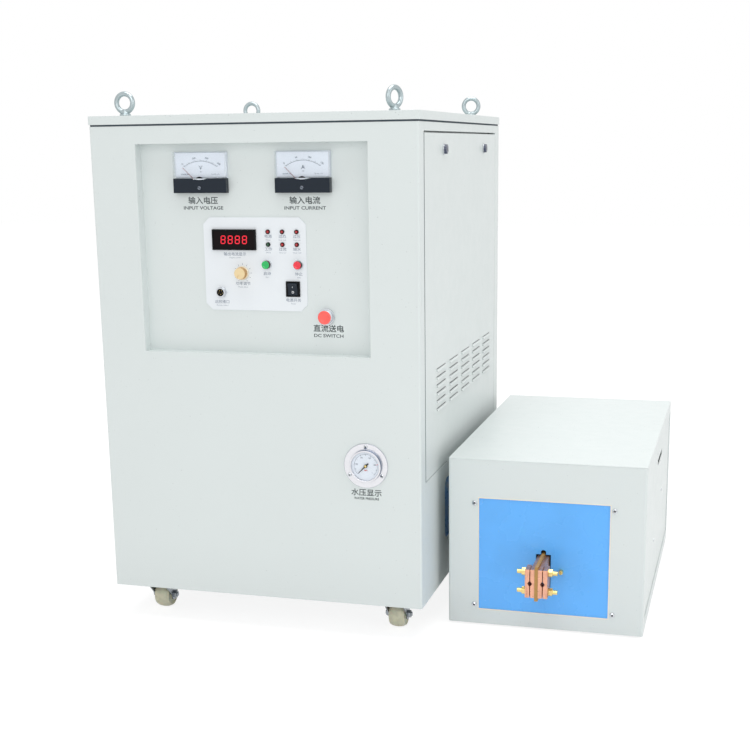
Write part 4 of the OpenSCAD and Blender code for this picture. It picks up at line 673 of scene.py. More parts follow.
class MACHINE_OT_stage(Operator):
    """Sets up the camera, the floor and the studio light"""
    bl_idname = "machine.stage"
    bl_label = "Stage"

    picture = 750  # pixels of the photograph's side
    floor_half = 12
    floor_glow = 1.19
    floor_share = 0.7  # how much of the floor's own light the picture shows
    aim = (0.15, 0, 0.45)

    def execute(self, context):
        studio = context.scene.machine_studio
        self.camera(context.scene, studio)
        self.floor()
        self.sky(context.scene, studio)
        self.lamp("top_lamp", studio.top, (0.55, -0.35, 5.4), 4.6)
        self.lamp("key_lamp", studio.key, (0.4, -3.6, 2.1), 2.4)
        self.lamp("fill_lamp", studio.fill, (3.6, -1.2, 1.8), 2.4)
        return {"FINISHED"}

    def camera(self, scene, studio):
        data = bpy.data.cameras.new("camera")
        data.sensor_width = 36
        data.lens = studio.focal_px / self.picture * data.sensor_width
        data.shift_x = (self.picture / 2 - studio.centre_px[0]) / self.picture
        data.shift_y = (studio.centre_px[1] - self.picture / 2) / self.picture
        data.clip_end = 50
        a, p, r = studio.azimuth, studio.pitch, studio.roll
        ahead = Vector((-sin(a) * cos(p), cos(a) * cos(p), -sin(p)))
        level = Vector((cos(a), sin(a), 0))
        up = level.cross(ahead)
        right = cos(r) * level + sin(r) * up
        top = cos(r) * up - sin(r) * level
        camera = bpy.data.objects.new("camera", data)
        turn = Matrix((right, top, -ahead)).transposed().to_4x4()
        camera.matrix_world = Matrix.Translation(studio.place) @ turn
        scene.collection.objects.link(camera)
        scene.camera = camera

    def seen(self, tree):
        """A socket that is 1 for rays from the camera, off mirrors and through covers, and 0 for light."""
        rays = tree.nodes.new("ShaderNodeLightPath")
        seen = rays.outputs["Is Camera Ray"]
        for kind in ("Is Glossy Ray", "Is Transmission Ray"):
            either = tree.nodes.new("ShaderNodeMath")
            either.operation = "MAXIMUM"
            tree.links.new(seen, either.inputs[0])
            tree.links.new(rays.outputs[kind], either.inputs[1])
            seen = either.outputs[0]
        return seen

    def floor(self):
        """Pale floor that keeps the machine's shadow."""
        bm = bmesh.new()
        bmesh.ops.create_grid(bm, x_segments=1, y_segments=1, size=self.floor_half)
        mesh = bpy.data.meshes.new("floor")
        bm.to_mesh(mesh)
        bm.free()
        floor = bpy.data.objects.new("floor", mesh)
        bpy.context.scene.collection.objects.link(floor)
        f = Finish("pale_floor", (0.92, 0.92, 0.92), 0.9)
        glow = f.node("ShaderNodeEmission", Color=(1, 1, 1, 1), Strength=self.floor_glow)
        mix = f.node("ShaderNodeMixShader")
        f.link(f.range(self.seen(f.tree), 0.0, 1.0, 0.0, self.floor_share), mix.inputs[0])
        f.link(f.shader.outputs[0], mix.inputs[1])
        f.link(glow.outputs[0], mix.inputs[2])
        f.link(mix.outputs[0], f.tree.nodes["Material Output"].inputs["Surface"])
        mesh.materials.append(f.material)

    def sky(self, scene, studio):
        """Even light; the camera, reflections and clear covers see plain white."""
        world = bpy.data.worlds.new("sky")
        world.use_nodes = True
        scene.world = world
        tree = world.node_tree
        background = tree.nodes["Background"]
        background.inputs["Color"].default_value = (1, 1, 1, 1)
        level = tree.nodes.new("ShaderNodeMapRange")
        level.inputs["To Min"].default_value = studio.sky
        level.inputs["To Max"].default_value = 1.0
        tree.links.new(self.seen(tree), level.inputs["Value"])
        tree.links.new(level.outputs["Result"], background.inputs["Strength"])

    def lamp(self, name, power, place, size):
        data = bpy.data.lights.new(name, "AREA")
        data.shape = "DISK"
        data.energy = power
        data.size = size
        lamp = bpy.data.objects.new(name, data)
        lamp.location = place
        lamp.rotation_euler = (Vector(self.aim) - Vector(place)).to_track_quat("-Z", "Y").to_euler()
        bpy.context.scene.collection.objects.link(lamp)


class MACHINE_OT_cabinet(Operator):
    """Finishes the cabinet's folded sheets and frame"""
    bl_idname = "machine.cabinet"
    bl_label = "Cabinet"

    def execute(self, context):
        for node in ("body_frame", "front_panel", "rear_panel", "lid", "instrument_panel",
                     "left_side_panel", "right_side_panel"):
            finished(node, "powder_coat")
        finished("base_frame", "zinc")
        # Dark strips in the gaps under the lid and along the side panels are painted shadow.
        self.lid_shadow_strip()
        for node, side in (("right_side_panel", 1), ("left_side_panel", -1)):
            self.shade_lines(node, side)
            self.panel_shadow_strip(node, side)
        return {"FINISHED"}

    def lid_shadow_strip(self):
        """Painted shadow: a dark strip at the bottom of the gap under the lid's skirt."""
        frame_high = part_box("body_frame")[1]
        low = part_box("front_panel")[1].z + 0.1 * MM
        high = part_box("lid")[0].z + 0.8 * MM
        x, y, proud = frame_high.x - 2 * MM, frame_high.y, 0.5 * MM
        bm = bmesh.new()
        for side in (-1, 1):
            bar(bm, HERE, (-x, side * y, low), (x, side * (y + proud), high))
            bar(bm, HERE, (side * x, -y, low), (side * (x + proud), y, high))
        piece(bm, "lid_shadow_strip", "gap_shadow", "head_feet", body="cabinet")

    def panel_shadow_strip(self, node, side):
        """Painted shadow: a dark strip along the front edge of a side panel, in the gap there."""
        low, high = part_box(node)
        face_x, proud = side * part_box("body_frame")[1].x, side * 0.45 * MM
        bm = bmesh.new()
        bar(bm, HERE, (face_x, low.y - 1.4 * MM, low.z), (face_x + proud, low.y - 0.4 * MM, high.z))
        piece(bm, node + "_shadow_strip", "gap_shadow", "head_feet", body="cabinet")

    def shade_lines(self, node, side):
        """Painted shade: a grey line along the top of each louvre, where shade falls in the crease."""
        face_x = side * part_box("body_frame")[1].x
        tall = abs(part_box(node)[side > 0].x) - abs(face_x)
        line, proud, skin, shortest = 1.4 * MM, 0.12 * MM, 0.3 * MM, 40 * MM
        bm = node_bmesh(node)
        flat = [v for v in bm.verts if side * (v.co.x - face_x) < skin]
        bmesh.ops.delete(bm, geom=flat, context="VERTS")
        hoods = sorted({tuple(round(c, 4) for c in (low.y, high.y, low.z)) for low, high in islands(bm)
                        if high.y - low.y > shortest})
        bm = bmesh.new()
        for y0, y1, lip in hoods:
            bar(bm, HERE, (face_x, y0 + MM, lip + tall), (face_x + side * proud, y1 - MM, lip + tall + line))
        piece(bm, node + "_shade_lines", "louvre_shade", node)


class MACHINE_OT_panel_locks(Operator):
    """Finishes the quarter-turn locks of the side panel"""
    bl_idname = "machine.panel_locks"
    bl_label = "Panel locks"

    def execute(self, context):
        flange_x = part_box("lid")[1].x + 0.8 * MM
        for node in ("right_lock_front", "right_lock_rear"):
            lock = finished(node, "chrome", width=sizes().fine_edge)
            repaint(lock, "lock_cap", lambda face: face.center.x > flange_x)
        return {"FINISHED"}


class MACHINE_OT_lifting_eyes(Operator):
    """Makes the forged lifting eyes, each blended into its collar"""
    bl_idname = "machine.lifting_eyes"
    bl_label = "Lifting eyes"

    grain: FloatProperty(name="Grain", description="Voxel of the blended forging", default=0.8 * MM)

    def execute(self, context):
        top_z = CAD_BOX[1].z - MM
        eyes = [box for box in solids("eye_bolts") if box[1].z > top_z]
        for number, box in enumerate(eyes, 1):
            self.eye(number, box)
        self.nuts()
        return {"FINISHED"}

    def turn_of(self, centre):
        """The ring's turn about Z, taken from its outline in plan."""
        beyond_ring = 22 * MM
        far = max((v.co for v in NODES["eye_bolts"].data.vertices
                   if (v.co.xy - centre.xy).length < beyond_ring and v.co.z > centre.z),
                  key=lambda co: (co.xy - centre.xy).length)
        return (far.xy - centre.xy).angle_signed(Vector((1, 0)))

    def eye(self, number, box):
        lid_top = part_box("lid")[1].z
        ring_d, ring_t, collar_r, collar_t = 40 * MM, 9 * MM, 10 * MM, 4 * MM
        ring_r = (ring_d - ring_t) / 2
        centre = middle(box)
        foot = Matrix.Translation((centre.x, centre.y, 0))
        ring_z = box[1].z - ring_d / 2
        bm = bmesh.new()
        section = [(ring_r + ring_t / 2 * cos(a), ring_t / 2 * sin(a)) for a in
                   [2 * pi * i / 16 for i in range(16)]]
        place = turned(shifted(foot, z=ring_z), self.turn_of(centre)) @ FRONT
        lathe(bm, section + section[:1], place, 64)
        neck_r, neck = ring_t / 1.9, ring_z - ring_d / 2 + ring_t * 0.8
        profile = [(0, lid_top), (collar_r - 0.8 * MM, lid_top), (collar_r, lid_top + 0.8 * MM),
                   (collar_r, lid_top + collar_t - MM), (collar_r - MM, lid_top + collar_t),
                   (collar_r / 1.6, lid_top + collar_t + MM), (neck_r, neck), (0, neck)]
        lathe(bm, profile, foot, 48)
        forged = piece(bm, f"lifting_eye_{number}", "forged", "eye_bolts")
        forged.modifiers.clear()
        blend = forged.modifiers.new("blend", "REMESH")
        blend.mode = "VOXEL"
        blend.voxel_size = self.grain
        blend.use_smooth_shade = True
        relax = forged.modifiers.new("relax", "SMOOTH")
        relax.factor = 0.5
        relax.iterations = 5

    def nuts(self):
        """Shanks and nuts under the lid."""
        bm = node_bmesh("eye_bolts")
        lid_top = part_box("lid")[1].z
        above = [v for v in bm.verts if v.co.z > lid_top + 0.2 * MM]
        bmesh.ops.delete(bm, geom=above, context="VERTS")
        bmesh.ops.holes_fill(bm, edges=bm.edges)
        piece(bm, "lifting_eye_nuts", "zinc", "eye_bolts", replaced=["eye_bolts"])


class MACHINE_OT_casters(Operator):
    """Finishes the caster plates and forks and makes the crowned wheels"""
    bl_idname = "machine.casters"
    bl_label = "Casters"

    crown: length_prop("Crown", "How far the tread falls off towards its edges", 4.0)
    dish: length_prop("Dish", "Depth of the hollow round a wheel's hub", 2.0)

    def execute(self, context):
        finished("caster_plates", "zinc", width=0.35 * MM)
        for corner in ("fl", "fr", "bl", "br"):
            finished("caster_fork_" + corner, "fork", width=0.35 * MM)
            self.wheel("caster_wheel_" + corner)
        return {"FINISHED"}

    def wheel(self, node):
        """A turned wheel: its bore and hub, the dished web, the rim and the crowned tread."""
        low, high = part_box(node)
        r, hub_half = (high.z - low.z) / 2, (high.x - low.x) / 2
        half = hub_half - 0.4 * MM
        bore, hub, rim = 4.05 * MM, 9 * MM, r - 6 * MM
        web = half - self.dish
        tread = [(r - self.crown * t ** 2.5, half * t) for t in (0.97, 0.9, 0.8, 0.68, 0.54, 0.4, 0.25, 0.1)]
        right = [(bore, hub_half), (hub - 0.5 * MM, hub_half), (hub, hub_half - 0.5 * MM),
                 (hub + 0.4 * MM, web + 0.5 * MM), (hub + MM, web), (rim - MM, web), (rim, web + 0.6 * MM),
                 (rim + 0.4 * MM, half - 0.3 * MM), (rim + MM, half), *tread]
        left = [(radius, -height) for radius, height in right[::-1]]
        bm = bmesh.new()
        place = Matrix.Translation(middle((low, high))) @ Matrix.Rotation(pi / 2, 4, "Y")
        lathe(bm, right + left + right[:1], place, 72)
        piece(bm, node + "_finished", "nylon", node, replaced=[node])


class MACHINE_OT_screws(Operator):
    """Makes the pan-head screws with their cross recess"""
    bl_idname = "machine.screws"
    bl_label = "Screws"

    rim = 24  # corners of a head's edge
    head_share, shank_share = 0.64, 0.52  # a head's height and a shank's radius, over the head's radius

    def execute(self, context):
        for node in ("cabinet_screws", "head_screws"):
            bm = bmesh.new()
            for number, box in enumerate(solids(node)):
                self.screw(bm, box, number)
            screws = piece(bm, node + "_finished", "chrome", node, replaced=[node])
            # The cross recesses take this dark finish as painted shade.
            screws.data.materials.append(finish("recess"))
        return {"FINISHED"}

    def screw(self, bm, box, number):
        """One screw in the space of the plain one: a domed head with a cross cut into it."""
        centre, size = middle(box), box[1] - box[0]
        along = max(range(3), key=lambda i: sum(abs(size[i] - other) for other in size))
        head_r = size[(along + 1) % 3] / 2
        head_t = min(head_r * self.head_share, size[along] * 0.9)
        outward = self.outward(centre, along)
        end = Vector(centre)
        end[along] = box[outward > 0][along]
        axis = Vector((0, 0, 0))
        axis[along] = outward
        place = Matrix.Translation(end - axis * head_t) @ axis.to_track_quat("Z", "X").to_matrix().to_4x4()
        self.head(bm, turned(place, radians(17 + 53 * number)), head_r, head_t)
        shank_r, shank_l = head_r * self.shank_share, size[along] - head_t
        if shank_l > MM:
            lathe(bm, [(0, 0), (shank_r, 0), (shank_r, -shank_l + MM), (0, -shank_l)], place, 20)

    def outward(self, centre, along):
        """1 for a screw whose head looks to the high side of its axis, otherwise -1."""
        rear_y, head_middle_x = 0.2, 0.5
        if along == 1:
            return 1 if centre.y > rear_y else -1
        return 1 if centre.x > head_middle_x or 0 < centre.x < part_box("lid")[1].x else -1

    def head(self, bm, place, r, t):
        """A dome whose crown is cut by a cross that narrows as it goes in."""
        arm, reach, floor_z, taper, crown = r * 0.16, r * 0.56, t * 0.45, 0.72, 0.94

        def loop(points, scale, height):
            return [bm.verts.new((x * scale, y * scale, height(x * scale, y * scale))) for x, y in points]

        def dome(x, y):
            d = min(1.0, (x * x + y * y) / (r * r))
            return t * (1 - 0.42 * d * d - 0.08 * d)

        def pairs(verts):
            return list(zip(verts, verts[1:] + verts[:1]))
        angles = [2 * pi * i / self.rim - pi / 8 for i in range(self.rim)]
        ring = [(r * cos(a), r * sin(a)) for a in angles]
        cross = [Matrix.Rotation(quarter * pi / 2, 2) @ Vector(point) for quarter in range(4)
                 for point in ((reach, -arm), (reach, arm), (arm, arm))]
        lip = loop(ring, crown, dome)
        edge = loop(ring, 1, lambda x, y: dome(x, y) - 0.04 * t)
        foot = loop(ring, 1, lambda x, y: 0)
        top = loop(cross, 1, dome)
        low = loop(cross, taper, lambda x, y: floor_z)
        # The cross's walls and floor take finish 1, dark as painted shade.
        for outer, inner, dark in ((lip, edge, 0), (edge, foot, 0), (top, low, 1)):
            for (a, b), (c, d) in zip(pairs(outer), pairs(inner)):
                bm.faces.new((a, b, d, c)).material_index = dark
        bm.faces.new(low).material_index = 1
        bm.faces.new(foot)
        bmesh.ops.bridge_loops(bm, edges=[bm.edges.get(pair) for pair in pairs(lip) + pairs(top)])
        bmesh.ops.transform(bm, matrix=place, verts=lip + edge + foot + top + low)


class MACHINE_OT_meters(Operator):
    """Finishes the two panel meters and prints their scales"""
    bl_idname = "machine.meters"
    bl_label = "Panel meters"

    strip: length_prop("Strip", "Height of the black strip under a window", 25.0)
    dip_r: length_prop("Dip", "Radius of the window's dip into that strip", 42.0)
    dip_up: length_prop("Dip middle", "Height of the dip's middle over the strip", 39.5)
    scale_drop: length_prop("Scale drop", "Middle of the scale below the needle's pivot", 10.5)

    scales = {"voltmeter": ("V", "0", "150", "300", "450"), "ammeter": ("A", "0", "50", "100", "150")}

    def execute(self, context):
        strip_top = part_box("meter_cases")[0].z + self.strip
        seam = strip_top + 0.1 * MM  # where the black strip ends and the clear rim begins
        bm = node_bmesh("meter_cases")
        bmesh.ops.bisect_plane(bm, geom=bm.verts[:] + bm.edges[:] + bm.faces[:],
                               plane_co=(0, 0, seam), plane_no=(0, 0, 1))
        round_edges(bm, 0.35 * MM)
        cases = piece(bm, "meter_cases_finished", "black_gloss", "meter_cases", replaced=["meter_cases"])
        repaint(cases, "rim", lambda face: face.center.z > seam + 0.1 * MM)
        finished("dial_plates", "dial_card", width=0.1 * MM)
        self.windows()
        case_y = min(box[0].y for box in solids("meter_cases"))
        for name in self.scales:
            finished(name + "_needle", "needle", width=0.08 * MM)
        for name in self.scales:
            self.movement(name, (PIVOT[name + "_swing"].x, case_y + 2.6 * MM, strip_top))
        for name, (unit, *numbers) in self.scales.items():
            pivot = PIVOT[name + "_swing"]
            self.scale(name, unit, pivot, numbers)
            self.zero_screw(name, (pivot.x, case_y + 0.3 * MM, pivot.z - 2.25 * MM))
        return {"FINISHED"}

    def windows(self):
        """Clear covers of the meters, and the gauge's glass."""
        panes = finished("instrument_glasses", "window", width=0.5 * MM, segments=3)
        gauge_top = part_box("gauge_case")[1].z
        repaint(panes, "glass", lambda face: face.center.z < gauge_top)

    def movement(self, name, strip_middle):
        """Pale lip of the window's dip, and the dark cover of the movement that shows over it."""
        place = facing(strip_middle)
        reach = (self.dip_r ** 2 - self.dip_up ** 2) ** 0.5

        def segment(bm, radius, centre, half, way):
            outline = [(x, centre + way * (radius ** 2 - x * x) ** 0.5) for x in spread(half, 25)]
            slab(bm, place, outline, 0.4 * MM)
        drawn(name + "_lip", "rim", "meter_cases",
              lambda bm: segment(bm, self.dip_r, self.dip_up, reach * 0.98, -1))
        drawn(name + "_movement", "black", "meter_cases",
              lambda bm: segment(bm, 9 * MM, -6 * MM, 6.6 * MM, 1))

    def scale(self, name, unit, pivot, numbers):
        s = sizes()
        card_y = solids("dial_plates")[0][0].y
        place = facing((pivot.x, card_y, pivot.z - self.scale_drop))
        reach = radians(35)
        signs = ((unit, 0, 11.7, 6.6, 0.15, 1.0), ("~", 0, 18, 4.4, 0.1, 1.0),
                 ("CLASS 2.5", -29.5, 22.5, 1.9, 0.08, 1.4), ("50 Hz  2.5", 28, 22.5, 1.8, 0, 1.4))

        def draw(bm):
            arc(bm, place, s.arc_r, 0.6 * MM, (-reach, reach), 48)
            fine = spread(reach, s.divisions + 1)
            ticks(bm, place, fine, s.arc_r, s.arc_r + 1.8 * MM, 0.25 * MM)
            ticks(bm, place, fine[::5], s.arc_r, s.arc_r + 3.0 * MM, 0.5 * MM)
            for number, angle in zip(numbers, spread(reach, len(numbers))):
                at = shifted(turned(place, -angle), y=s.arc_r + 5.8 * MM)
                write(bm, number, at, 2.9 * MM, weight=0.08 * MM)
            for sign, x, drop, height, weight, stretch in signs:
                at = shifted(place, x * MM, s.arc_r - drop * MM)
                write(bm, sign, at, height * MM, weight * MM, stretch)
        drawn(name + "_scale", "dial_ink", "dial_plates", draw)

    def zero_screw(self, name, point):
        """Cap of the zero-setting screw: two halves of a disc with the slot between them."""
        place = facing(point, roll=radians(28))
        r, t, slot_half = 3.1 * MM, 0.5 * MM, 0.45 * MM

        def draw(bm):
            for side in (-1, 1):
                before = set(bm.verts)
                ring = bmesh.ops.create_circle(bm, cap_ends=True, radius=r, segments=40)["verts"]
                disc = ring[0].link_faces[0]
                cut = bmesh.ops.bisect_plane(bm, geom=[disc, *disc.edges, *ring], clear_outer=True,
                                             plane_co=(0, side * slot_half, 0), plane_no=(0, -side, 0))
                thicken(bm, [g for g in cut["geom"] if isinstance(g, bmesh.types.BMFace)], (0, 0, t))
                bmesh.ops.transform(bm, matrix=place, verts=[v for v in bm.verts if v not in before])
        drawn(name + "_zero_screw", "zero_screw", "meter_cases", draw)


class MACHINE_OT_control_plate(Operator):
    """Finishes the control plate and prints its marks"""
    bl_idname = "machine.control_plate"
    bl_label = "Control plate"

    lamp_words = (("电源", "Power"), ("过热", "Over heat"), ("过压", "Over volt"),
                  ("工作", "Work"), ("过流", "Over cur"), ("缺水", "Water lack"))
    words_below = (("display_housing", 25.5, "输出电流显示", "Output current"),
                   ("start_button", 16, "启动", "Start"),
                   ("stop_button", 16, "停止", "Stop"),
                   ("power_knob", 19, "功率调节", "Power adjust"),
                   ("rocker_housing", 20, "电源开关", "Power"),
                   ("remote_socket", 17.5, "远控接口", "Remote control"))

    def execute(self, context):
        finished("control_plate", "enamel", width=0.3 * MM, steepest=50)
        drawn("knob_scale", "tick_ink", "control_plate", self.knob_marks)
        drawn("plate_words", "grey_ink", "control_plate", self.words)
        return {"FINISHED"}

    def on_plate(self, x, z):
        """A place on the plate's face."""
        return facing((x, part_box("control_plate")[0].y, z))

    def knob_marks(self, bm):
        knob = PIVOT["knob_turn"]
        ticks(bm, self.on_plate(knob.x, knob.z), spread(radians(150), 11), 14.2 * MM, 17 * MM, 0.55 * MM)

    def words(self, bm):
        """Two-line captions under the plate's fittings."""
        lamps = [middle(box) for box in solids("indicator_lamps")]
        lamps.sort(key=lambda c: (-round(c.z, 3), c.x))
        for centre, words in zip(lamps, self.lamp_words):
            self.caption(bm, centre, 8.3, *words)
        for node, drop, *words in self.words_below:
            self.caption(bm, middle(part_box(node)), drop, *words)

    def caption(self, bm, centre, drop, sign, word):
        s = sizes()
        place = self.on_plate(centre.x, centre.z - drop * MM)
        write(bm, sign, place, s.small_sign_h * SIGN_SHARE, weight=0.06 * MM, stretch=1.1)
        write(bm, word, shifted(place, y=-s.small_sign_h), s.small_word_h, stretch=1.1)


class MACHINE_OT_display(Operator):
    """Finishes the display and lights its four digits"""
    bl_idname = "machine.display"
    bl_label = "Display"

    count = 4

    def execute(self, context):
        finished("display_housing", "black", width=0.4 * MM)
        low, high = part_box("display_housing")
        rim, sunk, filter_t = 3.2 * MM, 1.5 * MM, 0.7 * MM
        centre = middle((low, high))
        place = facing((centre.x, low.y + sunk, centre.z))
        half_w, half_h = (high.x - low.x) / 2 - rim, (high.z - low.z) / 2 - rim
        bm = bmesh.new()
        bar(bm, place, (-half_w, -half_h, 0), (half_w, half_h, filter_t))
        round_edges(bm, 0.3 * MM)
        piece(bm, "display_filter", "filter", "display_housing")
        bm = bmesh.new()
        height = sizes().digit_h
        for x in spread((self.count - 1) / 2 * height * 0.92, self.count):
            self.digit(bm, shifted(place, x, z=filter_t), height)
        piece(bm, "display_digits", "glow", "display_housing")
        return {"FINISHED"}

    def digit(self, bm, place, height):
        """All seven segments of one digit, leaning a little."""
        width, stroke, gap, lean = height * 0.62, height * 0.11, height * 0.012, 0.06
        slant = place @ Matrix(((1, lean, 0, 0), (0, 1, 0, 0), (0, 0, 1, 0), (0, 0, 0, 1)))
        high, side = (height - stroke) / 2, (width - stroke) / 2
        flat, upright = width - stroke - 2 * gap, (height - stroke) / 2 - 2 * gap
        spots = [(0, y, flat, 0) for y in (high, 0, -high)]
        spots += [(x, y, upright, pi / 2) for x in (-side, side) for y in (-high / 2, high / 2)]
        for x, y, length, turn in spots:
            half, tip = length / 2, stroke / 2
            outline = [(-half, 0), (tip - half, tip), (half - tip, tip), (half, 0), (half - tip, -tip),
                       (tip - half, -tip)]
            slab(bm, turned(shifted(slant, x, y), turn), outline, 0.12 * MM)


class MACHINE_OT_lamps(Operator):
    """Makes the six indicator lamps, five red and one green"""
    bl_idname = "machine.lamps"
    bl_label = "Indicator lamps"

    # a rim's section, as shares of the lamp's radius and of its height over the plate
    rim = ((0.62, 0), (1, 0), (1, 0.42), (0.93, 0.56), (0.78, 0.6), (0.68, 0.5), (0.66, 0.2), (0, 0.2))

    def execute(self, context):
        plate_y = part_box("control_plate")[0].y
        rims, red, green = bmesh.new(), bmesh.new(), bmesh.new()
        lamps = solids("indicator_lamps")
        lowest = min(low.z for low, high in lamps)
        first = min(low.x for low, high in lamps)
        for low, high in lamps:
            centre, r = middle((low, high)), (high.z - low.z) / 2
            proud, depth = plate_y - low.y, high.y - plate_y
            place = facing((centre.x, plate_y, centre.z))
            rim = [(r * out, proud * up) for out, up in self.rim]
            lathe(rims, [(rim[0][0], -depth)] + rim, place, 32)
            lens_r, foot = r * 0.66, proud * 0.22
            dome = [(lens_r * cos(a), proud * (0.4 + 0.6 * sin(a))) for a in [pi / 16 * i for i in range(8)]]
            is_green = low.z < lowest + MM and low.x < first + MM
            lathe(green if is_green else red, [(0, foot), (lens_r, foot)] + dome + [(0, proud)], place, 32)
        piece(rims, "lamp_rims", "black", "indicator_lamps", replaced=["indicator_lamps"])
        piece(red, "red_lamp_lenses", "red_lens", "indicator_lamps")
        piece(green, "green_lamp_lens", "green_lens", "indicator_lamps")
        return {"FINISHED"}


class MACHINE_OT_buttons(Operator):
    """Finishes the push buttons and their collars"""
    bl_idname = "machine.buttons"
    bl_label = "Push buttons"

    def execute(self, context):
        # The start and stop caps' side faces take a dark brown as painted shade; the DC cap's sides take the pale
        # rim plastic.
        for node, material, side in (("start_button", "start", "cap_side_painted_shade"),
                                     ("stop_button", "stop", "cap_side_painted_shade"), ("dc_button", "dc", "rim")):
            cap = finished(node, material, width=0.9 * MM, segments=4)
            repaint(cap, side, lambda face: face.normal.y > -0.3)
        finished("switch_bodies", "chrome", width=0.4 * MM)
        return {"FINISHED"}


class MACHINE_OT_knob(Operator):
    """Finishes the ribbed power knob"""
    bl_idname = "machine.knob"
    bl_label = "Power knob"

    def execute(self, context):
        knob = finished("power_knob", "knob", width=0.35 * MM, steepest=55)
        skirt_y = PIVOT["knob_turn"].y - 5.2 * MM
        # Painted shade: faces that don't face the front, short of the skirt, take a darker tan.
        repaint(knob, "knob_side_painted_shade", lambda face: face.normal.y > -0.5 and face.center.y < skirt_y)
        # Painted highlight: the skirt next to the plate takes a paler cream.
        repaint(knob, "knob_skirt_painted_highlight", lambda face: face.center.y >= skirt_y)
        return {"FINISHED"}


class MACHINE_OT_rocker(Operator):
    """Finishes the main rocker switch and prints its marks"""
    bl_idname = "machine.rocker"
    bl_label = "Rocker switch"

    def execute(self, context):
        finished("rocker_housing", "black", width=0.5 * MM)
        finished("main_rocker", "black_gloss", width=0.4 * MM)
        drawn("rocker_marks", "white_ink", "main_rocker", self.marks)
        return {"FINISHED"}

    def marks(self, bm):
        """A line on the raised half of the rocker and a ring on the pressed one."""
        from_pivot, out = 5.4 * MM, 2.85 * MM
        place = facing(PIVOT["main_rock"])
        raised = shifted(place @ Matrix.Rotation(radians(24), 4, "X"), y=from_pivot, z=out)
        bar(bm, raised, (-0.4 * MM, -1.4 * MM, 0), (0.4 * MM, 1.4 * MM, sizes().print_t))
        arc(bm, shifted(place, y=-from_pivot, z=out), 1.7 * MM, 0.8 * MM, (0, 2 * pi), 32)


class MACHINE_OT_remote_socket(Operator):
    """Finishes the round socket and fills it with its contact insert"""
    bl_idname = "machine.remote_socket"
    bl_label = "Remote socket"

    contacts = 5

    def execute(self, context):
        finished("remote_socket", "chrome", width=0.35 * MM)
        low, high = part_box("remote_socket")
        centre = middle((low, high))
        place = facing((centre.x, low.y + 6.5 * MM, centre.z))
        r, insert_t = 6.3 * MM, 2 * MM
        bm = bmesh.new()
        edge = 0.4 * MM
        lathe(bm, [(0, 0), (r, 0), (r, insert_t - edge), (r - edge, insert_t), (0, insert_t)], place, 40)
        bar(bm, place, (-0.9 * MM, -r, 0), (0.9 * MM, -r + 1.6 * MM, 4.5 * MM))
        piece(bm, "socket_insert", "black", "remote_socket")
        pin = [(x * MM, y * MM) for x, y in ((0, 0), (0.75, 0), (0.75, 2.1), (0.5, 2.6), (0, 2.7))]
        bm = bmesh.new()
        for i in range(self.contacts):
            around = turned(place, 2 * pi * (i + 0.5) / self.contacts)
            lathe(bm, pin, shifted(around, y=3.6 * MM, z=insert_t), 12)
        piece(bm, "socket_pins", "brass", "remote_socket")
        return {"FINISHED"}


class MACHINE_OT_gauge(Operator):
    """Finishes the pressure gauge and prints its scale"""
    bl_idname = "machine.gauge"
    bl_label = "Pressure gauge"

    def execute(self, context):
        case = finished("gauge_case", "steel", width=0.6 * MM, segments=3)
        finished("gauge_needle", "black", width=0.1 * MM)
        pivot = PIVOT["pressure_swing"]

        # Painted shade: faces turned outward from the dial's middle, the bezel's outer wall among them, take a
        # dark blue-grey.
        def turned_out(face):
            away = Vector((face.center.x - pivot.x, 0, face.center.z - pivot.z))
            return away.length > 0 and face.normal.dot(away.normalized()) > 0.6
        repaint(case, "bezel_wall_painted_shade", turned_out)
        drawn("gauge_scale", "gauge_ink", "dial_plates", self.scale)
        drawn("gauge_red_mark", "red_ink", "dial_plates", self.red_mark)
        drawn("gauge_hub_cap", "brass", "gauge_needle", self.hub)
        return {"FINISHED"}

    def dial(self):
        """The middle of the gauge's dial."""
        pivot = PIVOT["pressure_swing"]
        dial_y = min(box[0].y for box in solids("dial_plates") if abs(middle(box).x - pivot.x) < MM)
        return facing((pivot.x, dial_y, pivot.z))

    def scale(self, bm):
        place, reach, r = self.dial(), radians(135), sizes().gauge_arc_r
        numbers = ("0", "0.2", "0.4", "0.6", "0.8", "1")
        arc(bm, place, r, 0.3 * MM, (-reach, reach), 64)
        fine = spread(reach, 51)
        ticks(bm, place, fine, r - 1.3 * MM, r, 0.26 * MM)
        ticks(bm, place, fine[::5], r - 2.6 * MM, r, 0.6 * MM)
        for number, angle in zip(numbers, spread(reach, len(numbers))):
            upright = turned(shifted(turned(place, -angle), y=r - 5 * MM), angle)
            write(bm, number, upright, 2.2 * MM, weight=0.1 * MM)

    def red_mark(self, bm):
        """The unit and the mark at the highest pressure allowed."""
        s = sizes()
        write(bm, "MPa", shifted(self.dial(), y=-8 * MM), 2.4 * MM, weight=0.1 * MM)
        ticks(bm, self.dial(), [radians(81)], s.gauge_arc_r - 3 * MM, s.gauge_arc_r + MM, 0.7 * MM,
              s.print_t * 1.4)

    def hub(self, bm):
        """Brass cap over the needle's pivot."""
        pivot = PIVOT["pressure_swing"]
        place = facing((pivot.x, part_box("gauge_needle")[0].y, pivot.z))
        r, t = 2.1 * MM, 0.45 * MM
        lathe(bm, [(0, 0), (r, 0), (r, t * 0.5), (r * 0.8, t * 0.9), (0, t)], place, 28)


